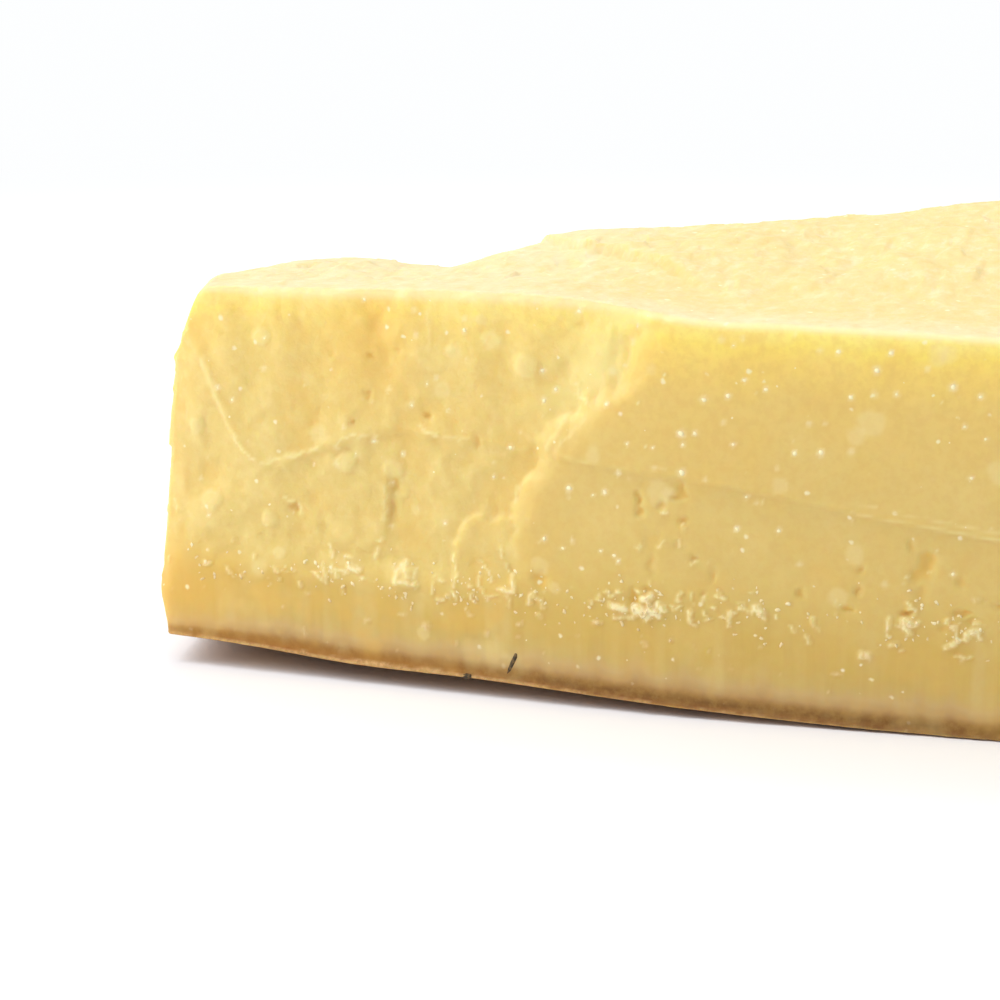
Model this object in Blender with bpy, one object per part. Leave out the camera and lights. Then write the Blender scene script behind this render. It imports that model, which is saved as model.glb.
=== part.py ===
"""A chunk of hard cheese, cut and broken out of half a wheel.

It is a blunt wedge. One flat face of the wheel, with its rind, is underneath. The front was
sliced with a knife from the wide end, in an upper and a lower stroke, until the cheese gave way
and tore towards the narrow end. The top is where the wheel was split in two, and it climbs
towards the back. A line of torn crumbs follows the rind, where the firm paste under it starts.

Sizes are in millimetres, in the frame of the slice: x runs along its straight part from the
narrow end, y goes back into the chunk and z is up from a little above the table. The mesh is
then centred.
"""

import bmesh
import bpy
import numpy as np

MM = 0.001

# The wedge
LENGTH = 176.0
NARROW_DEPTH = 40.0  # front to back at the narrow end
BACK_SLOPE = 0.40  # how fast the back runs away from the straight part of the slice
BEND_X, BEND_SLOPE, BEND_SOFTNESS = 91.3, 0.125, 12.0  # where the slice turns back a little
MEAN_DEPTH = NARROW_DEPTH + (BACK_SLOPE * LENGTH - BEND_SLOPE * (LENGTH - BEND_X)) / 2
END_SKEW = 0.22  # both ends stand square to the middle of the wedge, not to the slice
HEIGHT = 63.9  # of the front, a little under half a wheel's thickness
CENTRE = (83.24, 51.32)  # of the bounding box, in x and y

# The rounded edges
EDGE_RADIUS = 1.3
NARROW_END_RADIUS = 4.2
RIND_EDGE_RADIUS = 0.5
TORN_TOP_RADIUS = 2.3  # of the top's front edge, over the torn part
TORN_TOP_FROM, TORN_TOP_TO = 70.0, 90.0  # where that edge sharpens to the sliced one

# The narrow end leans in evenly, and its shoulder is round
NARROW_LEAN, LEAN_START = 0.085, 15.0
SHOULDER_IN, SHOULDER_POWER = 5.0, 8
SHOULDER_LOST_BEHIND = 0.7  # the share of it that is gone at the back
FOOT_OUT = 1.7

# The top's edges as (x, z): the front one is higher over the torn part, and the back one has a
# dip. Behind the dip a ledge runs aslant over the top.
TOP_FRONT_EDGE = (
    (0.0, 65.2), (12.0, 65.9), (26.0, 66.3), (40.0, 66.8), (55.0, 67.2), (69.0, 67.2), (79.0, 66.6),
    (86.0, 65.8), (94.0, 64.9), (110.0, 64.7), (126.0, 64.4), (142.0, 63.9), (176.0, 63.4),
)
TOP_BACK_EDGE = (
    (-10.0, 61.0), (-2.0, 63.1), (8.0, 64.8), (15.0, 65.0), (22.0, 64.6), (28.0, 63.5),
    (34.0, 63.2), (40.0, 65.2), (46.0, 67.2), (60.0, 68.8), (74.0, 69.2), (91.0, 70.8),
    (106.0, 71.5), (120.0, 73.5), (150.0, 75.6), (180.0, 77.0),
)
LEDGE_POINT = (46.6, 58.6)
LEDGE_ACROSS = (0.672, 0.741)  # across the ledge in x and y, towards its high side
LEDGE_STEP = 1.5

# The rind is slightly domed: it touches the table further back, and its front edge curls up
CURL_HEIGHT, CURL_START, CURL_END, CURL_BACK = 4.5, -14.0, 140.0, 2.0
SAG_DEPTH, SAG_X, SAG_WIDTH = 0.85, 36.0, 17.0  # the curled rind sags again between its ends
TABLE_Z, REST_START, REST_END = -0.6, 100.0, 175.0  # further back it comes down to the table

# The slice: where the cheese gave way, as (height, distance from the narrow end)
SLICE_EDGE = (
    (0.0, 69.0), (21.2, 67.9), (25.4, 66.7), (30.4, 67.0), (33.9, 68.7), (37.8, 71.2),
    (41.8, 74.2), (44.8, 77.2), (48.0, 80.5), (51.8, 84.2), (55.2, 87.2), (62.2, 90.0), (72.0, 94.5),
)
TEAR_DEPTH = 1.8  # how far the torn face lies behind the slice
TEAR_SLOPE_WIDTH, TEAR_SLOPE_WIDEST, WIDEST_AT = 4.2, 9.5, 53.0  # low down, and at this height
FIRM_PASTE = 17.3  # the knife ran clean up to this height, all the way along
STROKE_LINE = (
    (70.4, 41.6), (77.2, 40.7), (95.5, 39.2), (111.5, 36.9),
    (127.5, 34.4), (142.7, 32.3), (176.0, 24.0),
)
STROKE_STEP = 0.55  # between the upper and the lower stroke
CREST_LINE = (
    (0.0, 61.0), (8.4, 50.7), (12.5, 41.5), (17.5, 36.6), (27.7, 38.8),
    (39.6, 43.0), (56.5, 42.9), (70.4, 41.2),
)
CREST_HEIGHT, CREST_WIDTH = 0.35, 0.9
LUMP_HEIGHT = 0.42
FLUTE_DEPTH, FLUTE_SPACING, FLUTE_START = 0.18, 11.2, 14.9
# A crease, as (height, distance): left of it the face turns back towards the narrow end
CREASE_LINE = (
    (0.0, -8.0), (20.3, 3.9), (27.0, 10.4), (34.7, 16.5), (37.1, 16.0),
    (43.5, 11.6), (53.0, 7.7), (62.0, 0.0),
)
CREASE_TURN = 0.09
FLAKE_X, FLAKE_TOP, FLAKE_HALF_WIDTH, FLAKE_HEIGHT = 57.6, 30.0, 4.7, 0.7
SCARP_X, SCARP_Z, SCARP_HALF_HEIGHT, SCARP_DEPTH = 41.2, 31.5, 4.2, 0.6
SCRAP_Z, SCRAP_OUT = 53.0, 0.7  # a scrap that stands out of the narrow end

# The larger holes and tears of the front: x, z, half width, half height, depth
FRONT_PITS = (
    (24.1, 28.9, 1.1, 0.9, 0.57), (42.2, 34.2, 0.9, 1.4, 0.42), (48.2, 46.4, 1.0, 1.0, 0.57),
    (37.6, 49.1, 0.7, 0.7, 0.52), (38.4, 55.6, 0.9, 0.5, 0.42), (57.4, 42.4, 0.8, 1.0, 0.36),
    (74.6, 63.0, 1.0, 0.5, 0.26), (85.6, 34.5, 0.6, 1.8, 0.5), (92.8, 37.4, 0.7, 1.2, 0.47),
    (91.7, 36.4, 1.0, 0.6, 0.47), (87.6, 28.6, 1.4, 1.7, 0.26), (87.7, 24.8, 0.7, 1.7, 0.31),
    (92.2, 28.4, 1.0, 0.7, 0.26), (84.8, 19.0, 0.8, 1.4, 0.52), (129.0, 30.4, 0.5, 1.3, 0.31),
    (131.8, 28.0, 1.4, 1.7, 0.57), (130.5, 25.8, 1.7, 1.2, 0.42), (131.0, 22.6, 1.1, 1.4, 0.26),
    (129.0, 19.3, 0.8, 0.7, 0.68), (137.7, 20.4, 1.0, 0.5, 0.47), (138.9, 18.8, 1.3, 0.7, 0.36),
    (68.9, 20.4, 1.6, 1.6, 0.47), (153.0, 27.0, 1.6, 2.8, 0.47), (165.5, 21.5, 1.4, 1.6, 0.42),
    (161.0, 44.0, 0.9, 1.3, 0.31),
)
CRUMB_HEIGHT, CRUMB_LINE_HALF_HEIGHT, CLUMP_HALF_WIDTH = 0.5, 1.9, 3.6
# Where the torn crumbs of that line stand in clumps: x, and how strong
CRUMB_CLUMPS = (
    (7.5, 0.5), (13.0, 0.4), (19.0, 0.5), (32.0, 1.0), (44.0, 0.8), (57.0, 0.7), (67.0, 1.0),
    (80.0, 0.7), (87.5, 1.6), (99.0, 0.7), (107.0, 0.9), (129.6, 1.1), (138.5, 1.2), (155.0, 0.8),
    (166.0, 0.6),
)

# The mesh: spacing of the grid, and the share of its triangles that is kept
STEP_ALONG, STEP_UP, STEP_DEEP = 1.25, 1.25, 1.9
KEPT_SHARE = 0.15


def smoothstep(value, low, high):
    """0 below low, 1 above high, and an S curve of 3 s^2 - 2 s^3 between them."""
    share = np.clip((value - low) / (high - low), 0.0, 1.0)
    return share * share * (3.0 - 2.0 * share)


def bump(value, centre, width):
    """A bell curve, 1 at its centre."""
    return np.exp(-(((value - centre) / width) ** 2))


def curve(points, value):
    """A smooth curve through points, read where its first coordinate is value: a cubic between
    each two, with the slope that its neighbours give."""
    a, b = np.array(points).T
    slope = np.gradient(b, a)
    i = np.clip(np.searchsorted(a, value) - 1, 0, len(a) - 2)
    step = a[i + 1] - a[i]
    t = np.clip((value - a[i]) / step, 0.0, 1.0)
    ends = b[i] * (1 + 2 * t) * (1 - t) ** 2 + b[i + 1] * t * t * (3 - 2 * t)
    return ends + step * t * (1 - t) * (slope[i] * (1 - t) - slope[i + 1] * t)


def cell_random(i, j, seed):
    """An even random number from 0 to 1 for each cell (i, j), from a hash of its indices."""
    mask = np.uint64(0xFFFFFFFF)
    h = (i.astype(np.int64) * 374761393 + j.astype(np.int64) * 668265263 + seed * 974634777)
    h = h.astype(np.uint64) & mask
    h = ((h ^ (h >> np.uint64(13))) * np.uint64(1274126177)) & mask
    h = ((h ^ (h >> np.uint64(16))) * np.uint64(2246822519)) & mask
    return (h ^ (h >> np.uint64(15))).astype(np.float64) / float(0xFFFFFFFF)


def waves(a, b, size, seed):
    """Smooth noise from -1 to 1: random heights on a square lattice of this size, blended."""
    i, j = np.floor(a / size), np.floor(b / size)
    s, t = a / size - i, b / size - j
    s, t = s * s * s * (s * (6 * s - 15) + 10), t * t * t * (t * (6 * t - 15) + 10)
    low = cell_random(i, j, seed) * (1 - s) + cell_random(i + 1, j, seed) * s
    high = cell_random(i, j + 1, seed) * (1 - s) + cell_random(i + 1, j + 1, seed) * s
    return 2 * (low * (1 - t) + high * t) - 1


def facets(a, b, size, seed):
    """Broken, rocky noise, about -1 to 1: each curd grain is a flat facet, tilted at random.

    The plane is cut into cells round jittered points; a cell's height is a random offset plus
    a random slope times the distance from its point."""
    i, j = np.floor(a / size), np.floor(b / size)
    nearest = np.full(np.shape(a), 9.0)
    height = np.zeros(np.shape(a))
    for di in (-1, 0, 1):
        for dj in (-1, 0, 1):
            ci, cj = i + di, j + dj
            da = a / size - ci - 0.1 - 0.8 * cell_random(ci, cj, seed)
            db = b / size - cj - 0.1 - 0.8 * cell_random(ci, cj, seed + 1)
            away = da * da + db * db
            tilt_a = 2 * cell_random(ci, cj, seed + 2) - 1
            tilt_b = 2 * cell_random(ci, cj, seed + 3) - 1
            offset = cell_random(ci, cj, seed + 4) - 0.5
            closer = away < nearest
            height = np.where(closer, 0.8 * offset + 0.9 * (tilt_a * da + tilt_b * db), height)
            nearest = np.where(closer, away, nearest)
    return height


def front_at(x):
    """The slice in plan: straight from the narrow end, then turned back by a soft bend."""
    past = x - BEND_X
    return BEND_SLOPE * (past + np.sqrt(past**2 + BEND_SOFTNESS**2)) / 2


def back_at(x):
    """The back in plan, a straight break."""
    return NARROW_DEPTH + BACK_SLOPE * x


def narrow_end_at(z):
    """How far the narrow end stands in at height z: an even lean and a round shoulder."""
    shoulder = SHOULDER_IN * (z / HEIGHT) ** SHOULDER_POWER
    return NARROW_LEAN * np.maximum(z - LEAN_START, 0.0) + shoulder - FOOT_OUT * smoothstep(z, 0.0, 9.0)


def ledge_at(x, y):
    """How far a point of the top lies past the ledge, with the ledge's ragged line."""
    past = (x - LEDGE_POINT[0]) * LEDGE_ACROSS[0] + (y - LEDGE_POINT[1]) * LEDGE_ACROSS[1]
    return past + 2.6 * waves(x, y, 19.0, 12) + 1.2 * waves(x, y, 6.0, 11)


def top_at(x, y):
    """The height of the split top before its roughness, from the front edge to the back edge."""
    front = curve(TOP_FRONT_EDGE, x)
    behind = (y - front_at(x)) / (back_at(x) - front_at(x))
    climb = smoothstep(behind, 0.0, 1.25) / smoothstep(1.0, 0.0, 1.25)
    ledge = LEDGE_STEP * smoothstep(ledge_at(x, y), -0.4, 0.6) * smoothstep(behind, 0.15, 0.5)
    return front + (curve(TOP_BACK_EDGE, x) - front) * climb + ledge


def rind_at(x, y):
    """The underside: flat on the table, and curled up towards the narrow end of the front."""
    from_corner = x + CURL_BACK * y
    sag = SAG_DEPTH * bump(from_corner, SAG_X, SAG_WIDTH)
    curl = CURL_HEIGHT * (1 - smoothstep(from_corner, CURL_START, CURL_END)) - sag
    return curl + TABLE_Z * smoothstep(from_corner, REST_START, REST_END)


def torn_at(x, z):
    """The share of the front that is torn: 0 right of the slice's ragged edge, rising to 1.

    Low down the slice rolls over into the tear and ends at a corner; higher up it is soft."""
    ragged = 0.5 * waves(x, z, 5.0, 21) + 0.3 * waves(x, z, 1.9, 22)
    high_up = smoothstep(z, 40.0, 47.0) * (1 - 0.15 * smoothstep(z, WIDEST_AT, 62.0))
    width = TEAR_SLOPE_WIDTH + (TEAR_SLOPE_WIDEST - TEAR_SLOPE_WIDTH) * high_up
    width *= 1 + 0.4 * waves(x, z, 4.5, 61)
    share = np.clip((curve(SLICE_EDGE, z) + ragged - x) / width, 0.0, 1.0)
    rolled = share**2
    return rolled + (smoothstep(share, 0.0, 1.0) - rolled) * high_up


def front_relief(x, z):
    """How far the front face stands out (+) or lies back (-): slice, tear, crest and crumbs."""
    above_firm = smoothstep(z, FIRM_PASTE - 0.5, FIRM_PASTE + 4.5)
    torn = torn_at(x, z)
    deeper = (0.5 + 0.5 * smoothstep(x, 0.0, 60.0)) * (0.7 + 0.3 * smoothstep(z, 30.0, 60.0))
    relief = -TEAR_DEPTH * torn * above_firm * deeper
    # the torn face: flutes above the crest, soft lumps all over, and the crease
    over_crest = z - curve(CREST_LINE, x) - 0.5 * waves(x, z, 3.0, 23)
    flutes = np.cos(2 * np.pi * (x + 0.06 * z - FLUTE_START) / FLUTE_SPACING)
    flutes += 0.5 * waves(x, 0.12 * z, 3.4, 24)
    relief += FLUTE_DEPTH * flutes * torn * smoothstep(over_crest, 0.0, 9.0)
    lumps = 0.6 * waves(x, z, 6.5, 25) + 0.4 * waves(x, z, 2.8, 26)
    relief += torn * above_firm * LUMP_HEIGHT * lumps
    crest = 0.6 * np.exp(-((over_crest / CREST_WIDTH) ** 2)) + 0.5 * np.tanh(over_crest)
    relief += torn * above_firm * CREST_HEIGHT * crest
    turned = np.maximum(curve(CREASE_LINE, z) - x, 0.0)
    relief -= torn * CREASE_TURN * turned * smoothstep(z, FIRM_PASTE - 6.0, FIRM_PASTE + 8.0)
    # the step between the two strokes of the knife
    over_stroke = z - curve(STROKE_LINE, x)
    relief += (1 - torn) * STROKE_STEP * smoothstep(over_stroke, -0.7, 0.2)
    # a loose flake that stands on the firm paste, and a small cliff
    left_of = np.maximum(FLAKE_X - x, 0.0)
    arch = FLAKE_TOP - 0.22 * left_of**2 + 0.8 * waves(x, z, 2.0, 27)
    flake = smoothstep(arch - z, -0.6, 0.8) * smoothstep(FLAKE_HALF_WIDTH - left_of, -0.5, 1.2)
    relief += FLAKE_HEIGHT * flake * above_firm * torn
    cliff = smoothstep(x, SCARP_X - 0.4, SCARP_X + 0.5) * bump(x, SCARP_X, 5.0)
    relief -= SCARP_DEPTH * cliff * bump(z, SCARP_Z, SCARP_HALF_HEIGHT)
    for pit_x, pit_z, half_width, half_height, depth in FRONT_PITS:
        away = ((x - pit_x) / half_width) ** 2 + ((z - pit_z) / half_height) ** 2
        relief -= depth * np.exp(-(away**1.5))
    clumps = 0.25 + sum(
        strength * bump(x, clump_x, CLUMP_HALF_WIDTH) for clump_x, strength in CRUMB_CLUMPS
    )
    crumbs = np.maximum(waves(x, z, 1.5, 28) + 0.5 * waves(x, z, 0.9, 29), 0.0)
    relief += CRUMB_HEIGHT * clumps * crumbs * bump(z, FIRM_PASTE + 0.3, CRUMB_LINE_HALF_HEIGHT)
    return relief


def broken_relief(a, b, seed, strength):
    """A face that was broken, not cut: wide hollows, rocky curd grains and small lumps."""
    hollows = 1.5 * waves(a, b, 34.0, seed) + 0.6 * waves(a, b, 15.0, seed + 5)
    grains = 0.9 * facets(a, b, 7.5, seed + 10) + 0.45 * facets(a, b, 3.6, seed + 20)
    return strength * (hollows + grains)


def back_relief(x, z):
    """The back broke away in shallow shells; near the rind it came off clean."""
    clean = smoothstep(z, 4.0, FIRM_PASTE + 4.0)
    flutes = 0.5 * np.sin(2 * np.pi * (x + 0.15 * z) / 17.0)
    return clean * (broken_relief(x, z, 41, 0.85) + flutes)


def narrow_relief(y, z):
    """The narrow end broke too, and has worn round. A scrap stands out of it near the slice."""
    scrap = SCRAP_OUT * bump(z, SCRAP_Z, 1.0) * bump(y, 2.0, 5.0)
    return smoothstep(z, 3.0, 14.0) * broken_relief(y, z, 81, 0.4) + scrap


def wide_relief(y, z):
    """The wide end was sliced in one stroke, and shows the knife's slow drift."""
    return 0.5 * waves(y, 0.2 * z, 30.0, 121) - 0.2 * smoothstep(z - 0.2 * y, 18.0, 19.0)


def top_relief(x, y):
    """The split top: smooth just behind the sliced edge, then rocky, and calmer by the narrow
    end and the back. Its grains are drawn out towards the back."""
    smooth_strip = 4.0 + 0.1 * x
    past_strip = y - front_at(x) - smooth_strip + 3.0 * waves(x, y, 12.0, 61)
    rough = 0.15 + 0.85 * smoothstep(past_strip, 0.0, 12.0)
    deep_y = 0.55 * y
    grains = 0.4 * facets(x, deep_y, 7.0, 63) + 0.3 * facets(x, deep_y, 3.3, 71)
    grains += 0.35 * waves(x, y, 5.0, 74) + 0.15 * waves(x, y, 2.4, 75)
    grains *= 0.25 + 0.75 * smoothstep(x, -4.0, 16.0)
    grains *= 1 - 0.5 * smoothstep(y - back_at(x), -18.0, -3.0)
    return rough * (0.5 * waves(x, y, 15.0, 62) + grains)


def lines_across(length, step, edge):
    """Grid lines from 0 to length: close together within the rounded edges, even between."""
    near = edge * np.array([0.0, 0.3, 0.65, 1.05])
    middle = np.linspace(1.5 * edge, length - 1.5 * edge, round((length - 3 * edge) / step) + 1)
    return np.concatenate([near, middle, length - near[::-1]])


def block_grid():
    """Points of a plain block as a grid of rings: a ring goes up the front, back over the top,
    down the back and home underneath. The first and last rings shrink to the ends' centres."""
    up = lines_across(HEIGHT, STEP_UP, EDGE_RADIUS)
    deep = lines_across(MEAN_DEPTH, STEP_DEEP, EDGE_RADIUS)
    y = np.concatenate([0 * up, deep[1:], 0 * up[1:] + MEAN_DEPTH, deep[::-1][1:-1]])
    z = np.concatenate([up, 0 * deep[1:] + HEIGHT, up[::-1][1:], 0 * deep[1:-1]])
    stations = lines_across(LENGTH, STEP_ALONG, EDGE_RADIUS)
    inwards = lines_across(HEIGHT, 2 * STEP_UP, EDGE_RADIUS)
    inwards = 2 * inwards[(inwards > 0) & (inwards < HEIGHT / 2 - STEP_UP)] / HEIGHT
    share = np.concatenate([1 - inwards[::-1], 0 * stations + 1, 1 - inwards])
    x = np.concatenate([0 * inwards, stations, 0 * inwards + LENGTH])
    middle_y, middle_z = MEAN_DEPTH / 2, HEIGHT / 2
    rings = np.empty((len(x), len(y), 3))
    rings[:, :, 0] = x[:, None]
    rings[:, :, 1] = middle_y + share[:, None] * (y - middle_y)
    rings[:, :, 2] = middle_z + share[:, None] * (z - middle_z)
    poles = np.array([[0.0, middle_y, middle_z], [LENGTH, middle_y, middle_z]])
    return rings, poles


def shaped(points):
    """The finished surface from points of the plain block.

    Each point is first drawn in towards the block's core, a block smaller by the edge radius,
    and put back at that radius from it, which rounds the edges and gives the way out. The block
    is then widened and leant into the wedge, and each face gets its relief along the way out."""
    size = np.array([LENGTH, MEAN_DEPTH, HEIGHT])
    across, up = points[..., 0], points[..., 2]
    worn = (1 - smoothstep(across, 2.0, 16.0)) * smoothstep(up, 3.0, 14.0)
    worn *= 1 - 0.9 * smoothstep(up, HEIGHT - 12.0, HEIGHT - 2.0)
    radius = EDGE_RADIUS + (NARROW_END_RADIUS - EDGE_RADIUS) * worn
    radius += (RIND_EDGE_RADIUS - EDGE_RADIUS) * (1 - smoothstep(up, 0.5, 5.0))
    torn_top = smoothstep(up, HEIGHT - 8.0, HEIGHT - 3.0)
    torn_top *= smoothstep(across, 3.0, 16.0) * (1 - smoothstep(across, TORN_TOP_FROM, TORN_TOP_TO))
    radius += (TORN_TOP_RADIUS - EDGE_RADIUS) * torn_top
    radius = radius[..., None]
    core = np.clip(points, radius, size - radius)
    out = points - core
    out /= np.linalg.norm(out, axis=-1, keepdims=True)
    x, y, z = np.moveaxis(core + radius * out, -1, 0)

    share_up, share_back = z / HEIGHT, y / MEAN_DEPTH
    x = x + narrow_end_at(z) * (1 - smoothstep(x, 0.0, 48.0)) * (1 - SHOULDER_LOST_BEHIND * share_back)
    x = x - END_SKEW * share_back * (back_at(x) - front_at(x))
    y = front_at(x) + share_back * (back_at(x) - front_at(x))
    low, high = rind_at(x, y), top_at(x, y)
    z = low + (high - low) * share_up

    out_x, out_y, out_z = np.moveaxis(out, -1, 0)
    front = -np.minimum(out_y, 0) * front_relief(x, z)
    back = np.maximum(out_y, 0) * back_relief(x, z)
    narrow = -np.minimum(out_x, 0) * narrow_relief(y, z)
    wide = np.maximum(out_x, 0) * wide_relief(y, z)
    top = np.maximum(out_z, 0) * top_relief(x, y)
    return np.stack([x - narrow + wide, y - front + back, z + top], axis=-1)


def material(name, colour, roughness):
    made = bpy.data.materials.new(name)
    made.use_nodes = True
    surface = made.node_tree.nodes["Principled BSDF"]
    surface.inputs["Base Color"].default_value = (*colour, 1.0)
    surface.inputs["Roughness"].default_value = roughness
    return made


def clear_scene():
    for obj in list(bpy.data.objects):
        bpy.data.objects.remove(obj, do_unlink=True)


def bridged(mesh, ring_verts, pole_verts):
    """Faces between each ring and the next, and a fan from each end's centre."""
    around = len(ring_verts[0])
    for ring, following in zip(ring_verts, ring_verts[1:]):
        for i in range(around):
            j = (i + 1) % around
            mesh.faces.new((ring[i], ring[j], following[j], following[i]))
    for i in range(around):
        j = (i + 1) % around
        mesh.faces.new((pole_verts[0], ring_verts[0][j], ring_verts[0][i]))
        mesh.faces.new((pole_verts[1], ring_verts[-1][i], ring_verts[-1][j]))


def build_chunk():
    rings, poles = block_grid()
    centre = np.array([*CENTRE, TABLE_Z])
    rings = (shaped(rings) - centre) * MM
    poles = (shaped(poles) - centre) * MM

    mesh = bmesh.new()
    ring_verts = [[mesh.verts.new(point) for point in ring] for ring in rings.tolist()]
    pole_verts = [mesh.verts.new(point) for point in poles.tolist()]
    bridged(mesh, ring_verts, pole_verts)
    bmesh.ops.recalc_face_normals(mesh, faces=mesh.faces)

    data = bpy.data.meshes.new("sbrinz_chunk")
    mesh.to_mesh(data)
    mesh.free()
    data.materials.append(material("cheese_paste", (0.78, 0.56, 0.2), 0.5))
    data.shade_smooth()

    chunk = bpy.data.objects.new("sbrinz_chunk", data)
    bpy.context.scene.collection.objects.link(chunk)
    fewer = chunk.modifiers.new("FewerFacets", "DECIMATE")
    fewer.decimate_type = "COLLAPSE"
    fewer.ratio = KEPT_SHARE
    fewer.use_collapse_triangulate = True
    return chunk


clear_scene()
build_chunk()
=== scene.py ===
"""The looks of a chunk of hard cheese, cut and broken out of half a wheel.

The piece lies on its rind on a white table. Its front was sliced from the wide end until the
cheese gave way and tore; torn curd stands along the line where the firm paste under the rind
starts. White grains of crystal are spread through the paste.

Sizes are in millimetres, in the frame of the slice: x runs along its straight part from the
narrow end, y goes back into the chunk and z is up from a little above the table. Meshes are
then centred and scaled to metres. Colours are given as they look on a screen, 0 to 255.
"""

import bpy
import numpy as np
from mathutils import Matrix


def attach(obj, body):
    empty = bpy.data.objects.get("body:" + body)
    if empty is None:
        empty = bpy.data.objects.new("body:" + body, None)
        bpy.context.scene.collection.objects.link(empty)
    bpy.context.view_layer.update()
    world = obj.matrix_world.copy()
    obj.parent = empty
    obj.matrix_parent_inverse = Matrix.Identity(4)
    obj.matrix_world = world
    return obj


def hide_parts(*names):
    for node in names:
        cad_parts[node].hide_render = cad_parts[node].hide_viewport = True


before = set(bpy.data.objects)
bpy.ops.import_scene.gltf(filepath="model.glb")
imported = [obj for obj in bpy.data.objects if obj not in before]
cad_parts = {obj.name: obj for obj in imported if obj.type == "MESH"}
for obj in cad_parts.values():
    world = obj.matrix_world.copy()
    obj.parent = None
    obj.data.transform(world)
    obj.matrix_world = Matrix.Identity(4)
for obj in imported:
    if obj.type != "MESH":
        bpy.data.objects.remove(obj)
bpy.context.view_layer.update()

# --- The chunk -------------------------------------------------------------------------------
# A blunt wedge of firm, waxy paste with a thin rind underneath. The knife left smooth faces, the
# torn and split faces show the curd, and all the faces share one closed skin.

MM = 0.001
LENGTH = 176.0
NARROW_DEPTH = 40.0
BACK_SLOPE = 0.40
BEND_X, BEND_SLOPE, BEND_SOFTNESS = 91.3, 0.125, 12.0
MEAN_DEPTH = NARROW_DEPTH + (BACK_SLOPE * LENGTH - BEND_SLOPE * (LENGTH - BEND_X)) / 2
END_SKEW = 0.22
HEIGHT = 63.9
CENTRE = (83.24, 51.32)

EDGE_RADIUS = 1.3
NARROW_END_RADIUS = 4.2
RIND_EDGE_RADIUS = 0.5
TORN_TOP_RADIUS = 2.3
NARROW_LEAN, LEAN_START, LEAN_REACH = 0.085, 15.0, 48.0
SHOULDER_IN, SHOULDER_POWER = 5.0, 8
FOOT_OUT, FOOT_HEIGHT = 1.7, 9.0
WORN_REACH = 16.0  # the narrow end's edges have worn round this far
# Along the chunk, where the torn top, its hump and the young rind come to an end
TORN_TOP_END, HUMP_END, YOUNG_RIND_END = (70.0, 90.0), (50.0, 85.0), (40.0, 80.0)

TOP_FRONT_EDGE = (
    (0.0, 65.2), (12.0, 65.9), (26.0, 66.3), (40.0, 66.8), (55.0, 67.2), (69.0, 67.2), (79.0, 66.6),
    (86.0, 65.8), (94.0, 64.9), (110.0, 64.7), (126.0, 64.4), (142.0, 63.9), (176.0, 63.4),
)
TOP_BACK_EDGE = (
    (-10.0, 61.0), (-2.0, 63.1), (8.0, 64.8), (15.0, 65.0), (22.0, 64.6), (28.0, 63.5), (34.0, 63.2),
    (40.0, 65.2), (46.0, 67.2), (60.0, 68.8), (74.0, 69.2), (91.0, 70.8), (106.0, 71.5), (120.0, 73.5),
    (150.0, 75.6), (180.0, 77.0),
)
LEDGE_POINT = (46.6, 58.6)
LEDGE_ACROSS = (0.672, 0.741)
LEDGE_STEP = 1.5
CURL_HEIGHT, CURL_START, CURL_END, CURL_BACK = 4.5, -14.0, 140.0, 2.0
SAG_DEPTH, SAG_X, SAG_WIDTH = 0.85, 36.0, 17.0  # the curled rind sags again between its ends
TABLE_Z, REST_START, REST_END = -0.6, 100.0, 175.0  # further back it comes down to the table

SLICE_EDGE = (
    (0.0, 69.0), (21.2, 67.9), (25.4, 66.7), (30.4, 67.0), (33.9, 68.7), (37.8, 71.2), (41.8, 74.2),
    (44.8, 77.2), (48.0, 80.5), (51.8, 84.2), (55.2, 87.2), (62.2, 90.0), (72.0, 94.5),
)
TEAR_DEPTH = 1.8
TEAR_SLOPE_WIDTH, TEAR_SLOPE_WIDEST, WIDEST_AT = 4.2, 9.5, 53.0
FIRM_PASTE = 17.3  # the height where the knife stopped running clean
STROKE_LINE = (
    (70.4, 41.6), (77.2, 40.7), (95.5, 39.2), (111.5, 36.9), (127.5, 34.4), (142.7, 32.3),
    (176.0, 24.0),
)
STROKE_STEP = 0.55
CREST_LINE = (
    (0.0, 61.0), (8.4, 50.7), (12.5, 41.5), (17.5, 36.6), (27.7, 38.8), (39.6, 43.0), (56.5, 42.9),
    (70.4, 41.2),
)
CREST_HEIGHT, CREST_WIDTH = 0.35, 0.9
LUMP_HEIGHT = 0.42
FLUTE_DEPTH, FLUTE_SPACING, FLUTE_START = 0.18, 11.2, 14.9
# A crease runs down from the crest; left of it the face turns back towards the narrow end
CREASE_LINE = (
    (0.0, -8.0), (20.3, 3.9), (27.0, 10.4), (34.7, 16.5), (37.1, 16.0), (43.5, 11.6), (53.0, 7.7),
    (62.0, 0.0),
)
CREASE_TURN = 0.09
FLAKE_X, FLAKE_TOP, FLAKE_HALF_WIDTH, FLAKE_HEIGHT = 57.6, 30.0, 4.7, 0.7
SCARP_X, SCARP_Z, SCARP_HALF_HEIGHT, SCARP_DEPTH = 41.2, 31.5, 4.2, 0.6
# More amber patches of the paste: x, z, half width, half height, strength
STAINS = ((39.0, 59.0, 6.0, 10.0, 0.8), (4.0, 13.0, 12.0, 7.0, 0.9))

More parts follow.
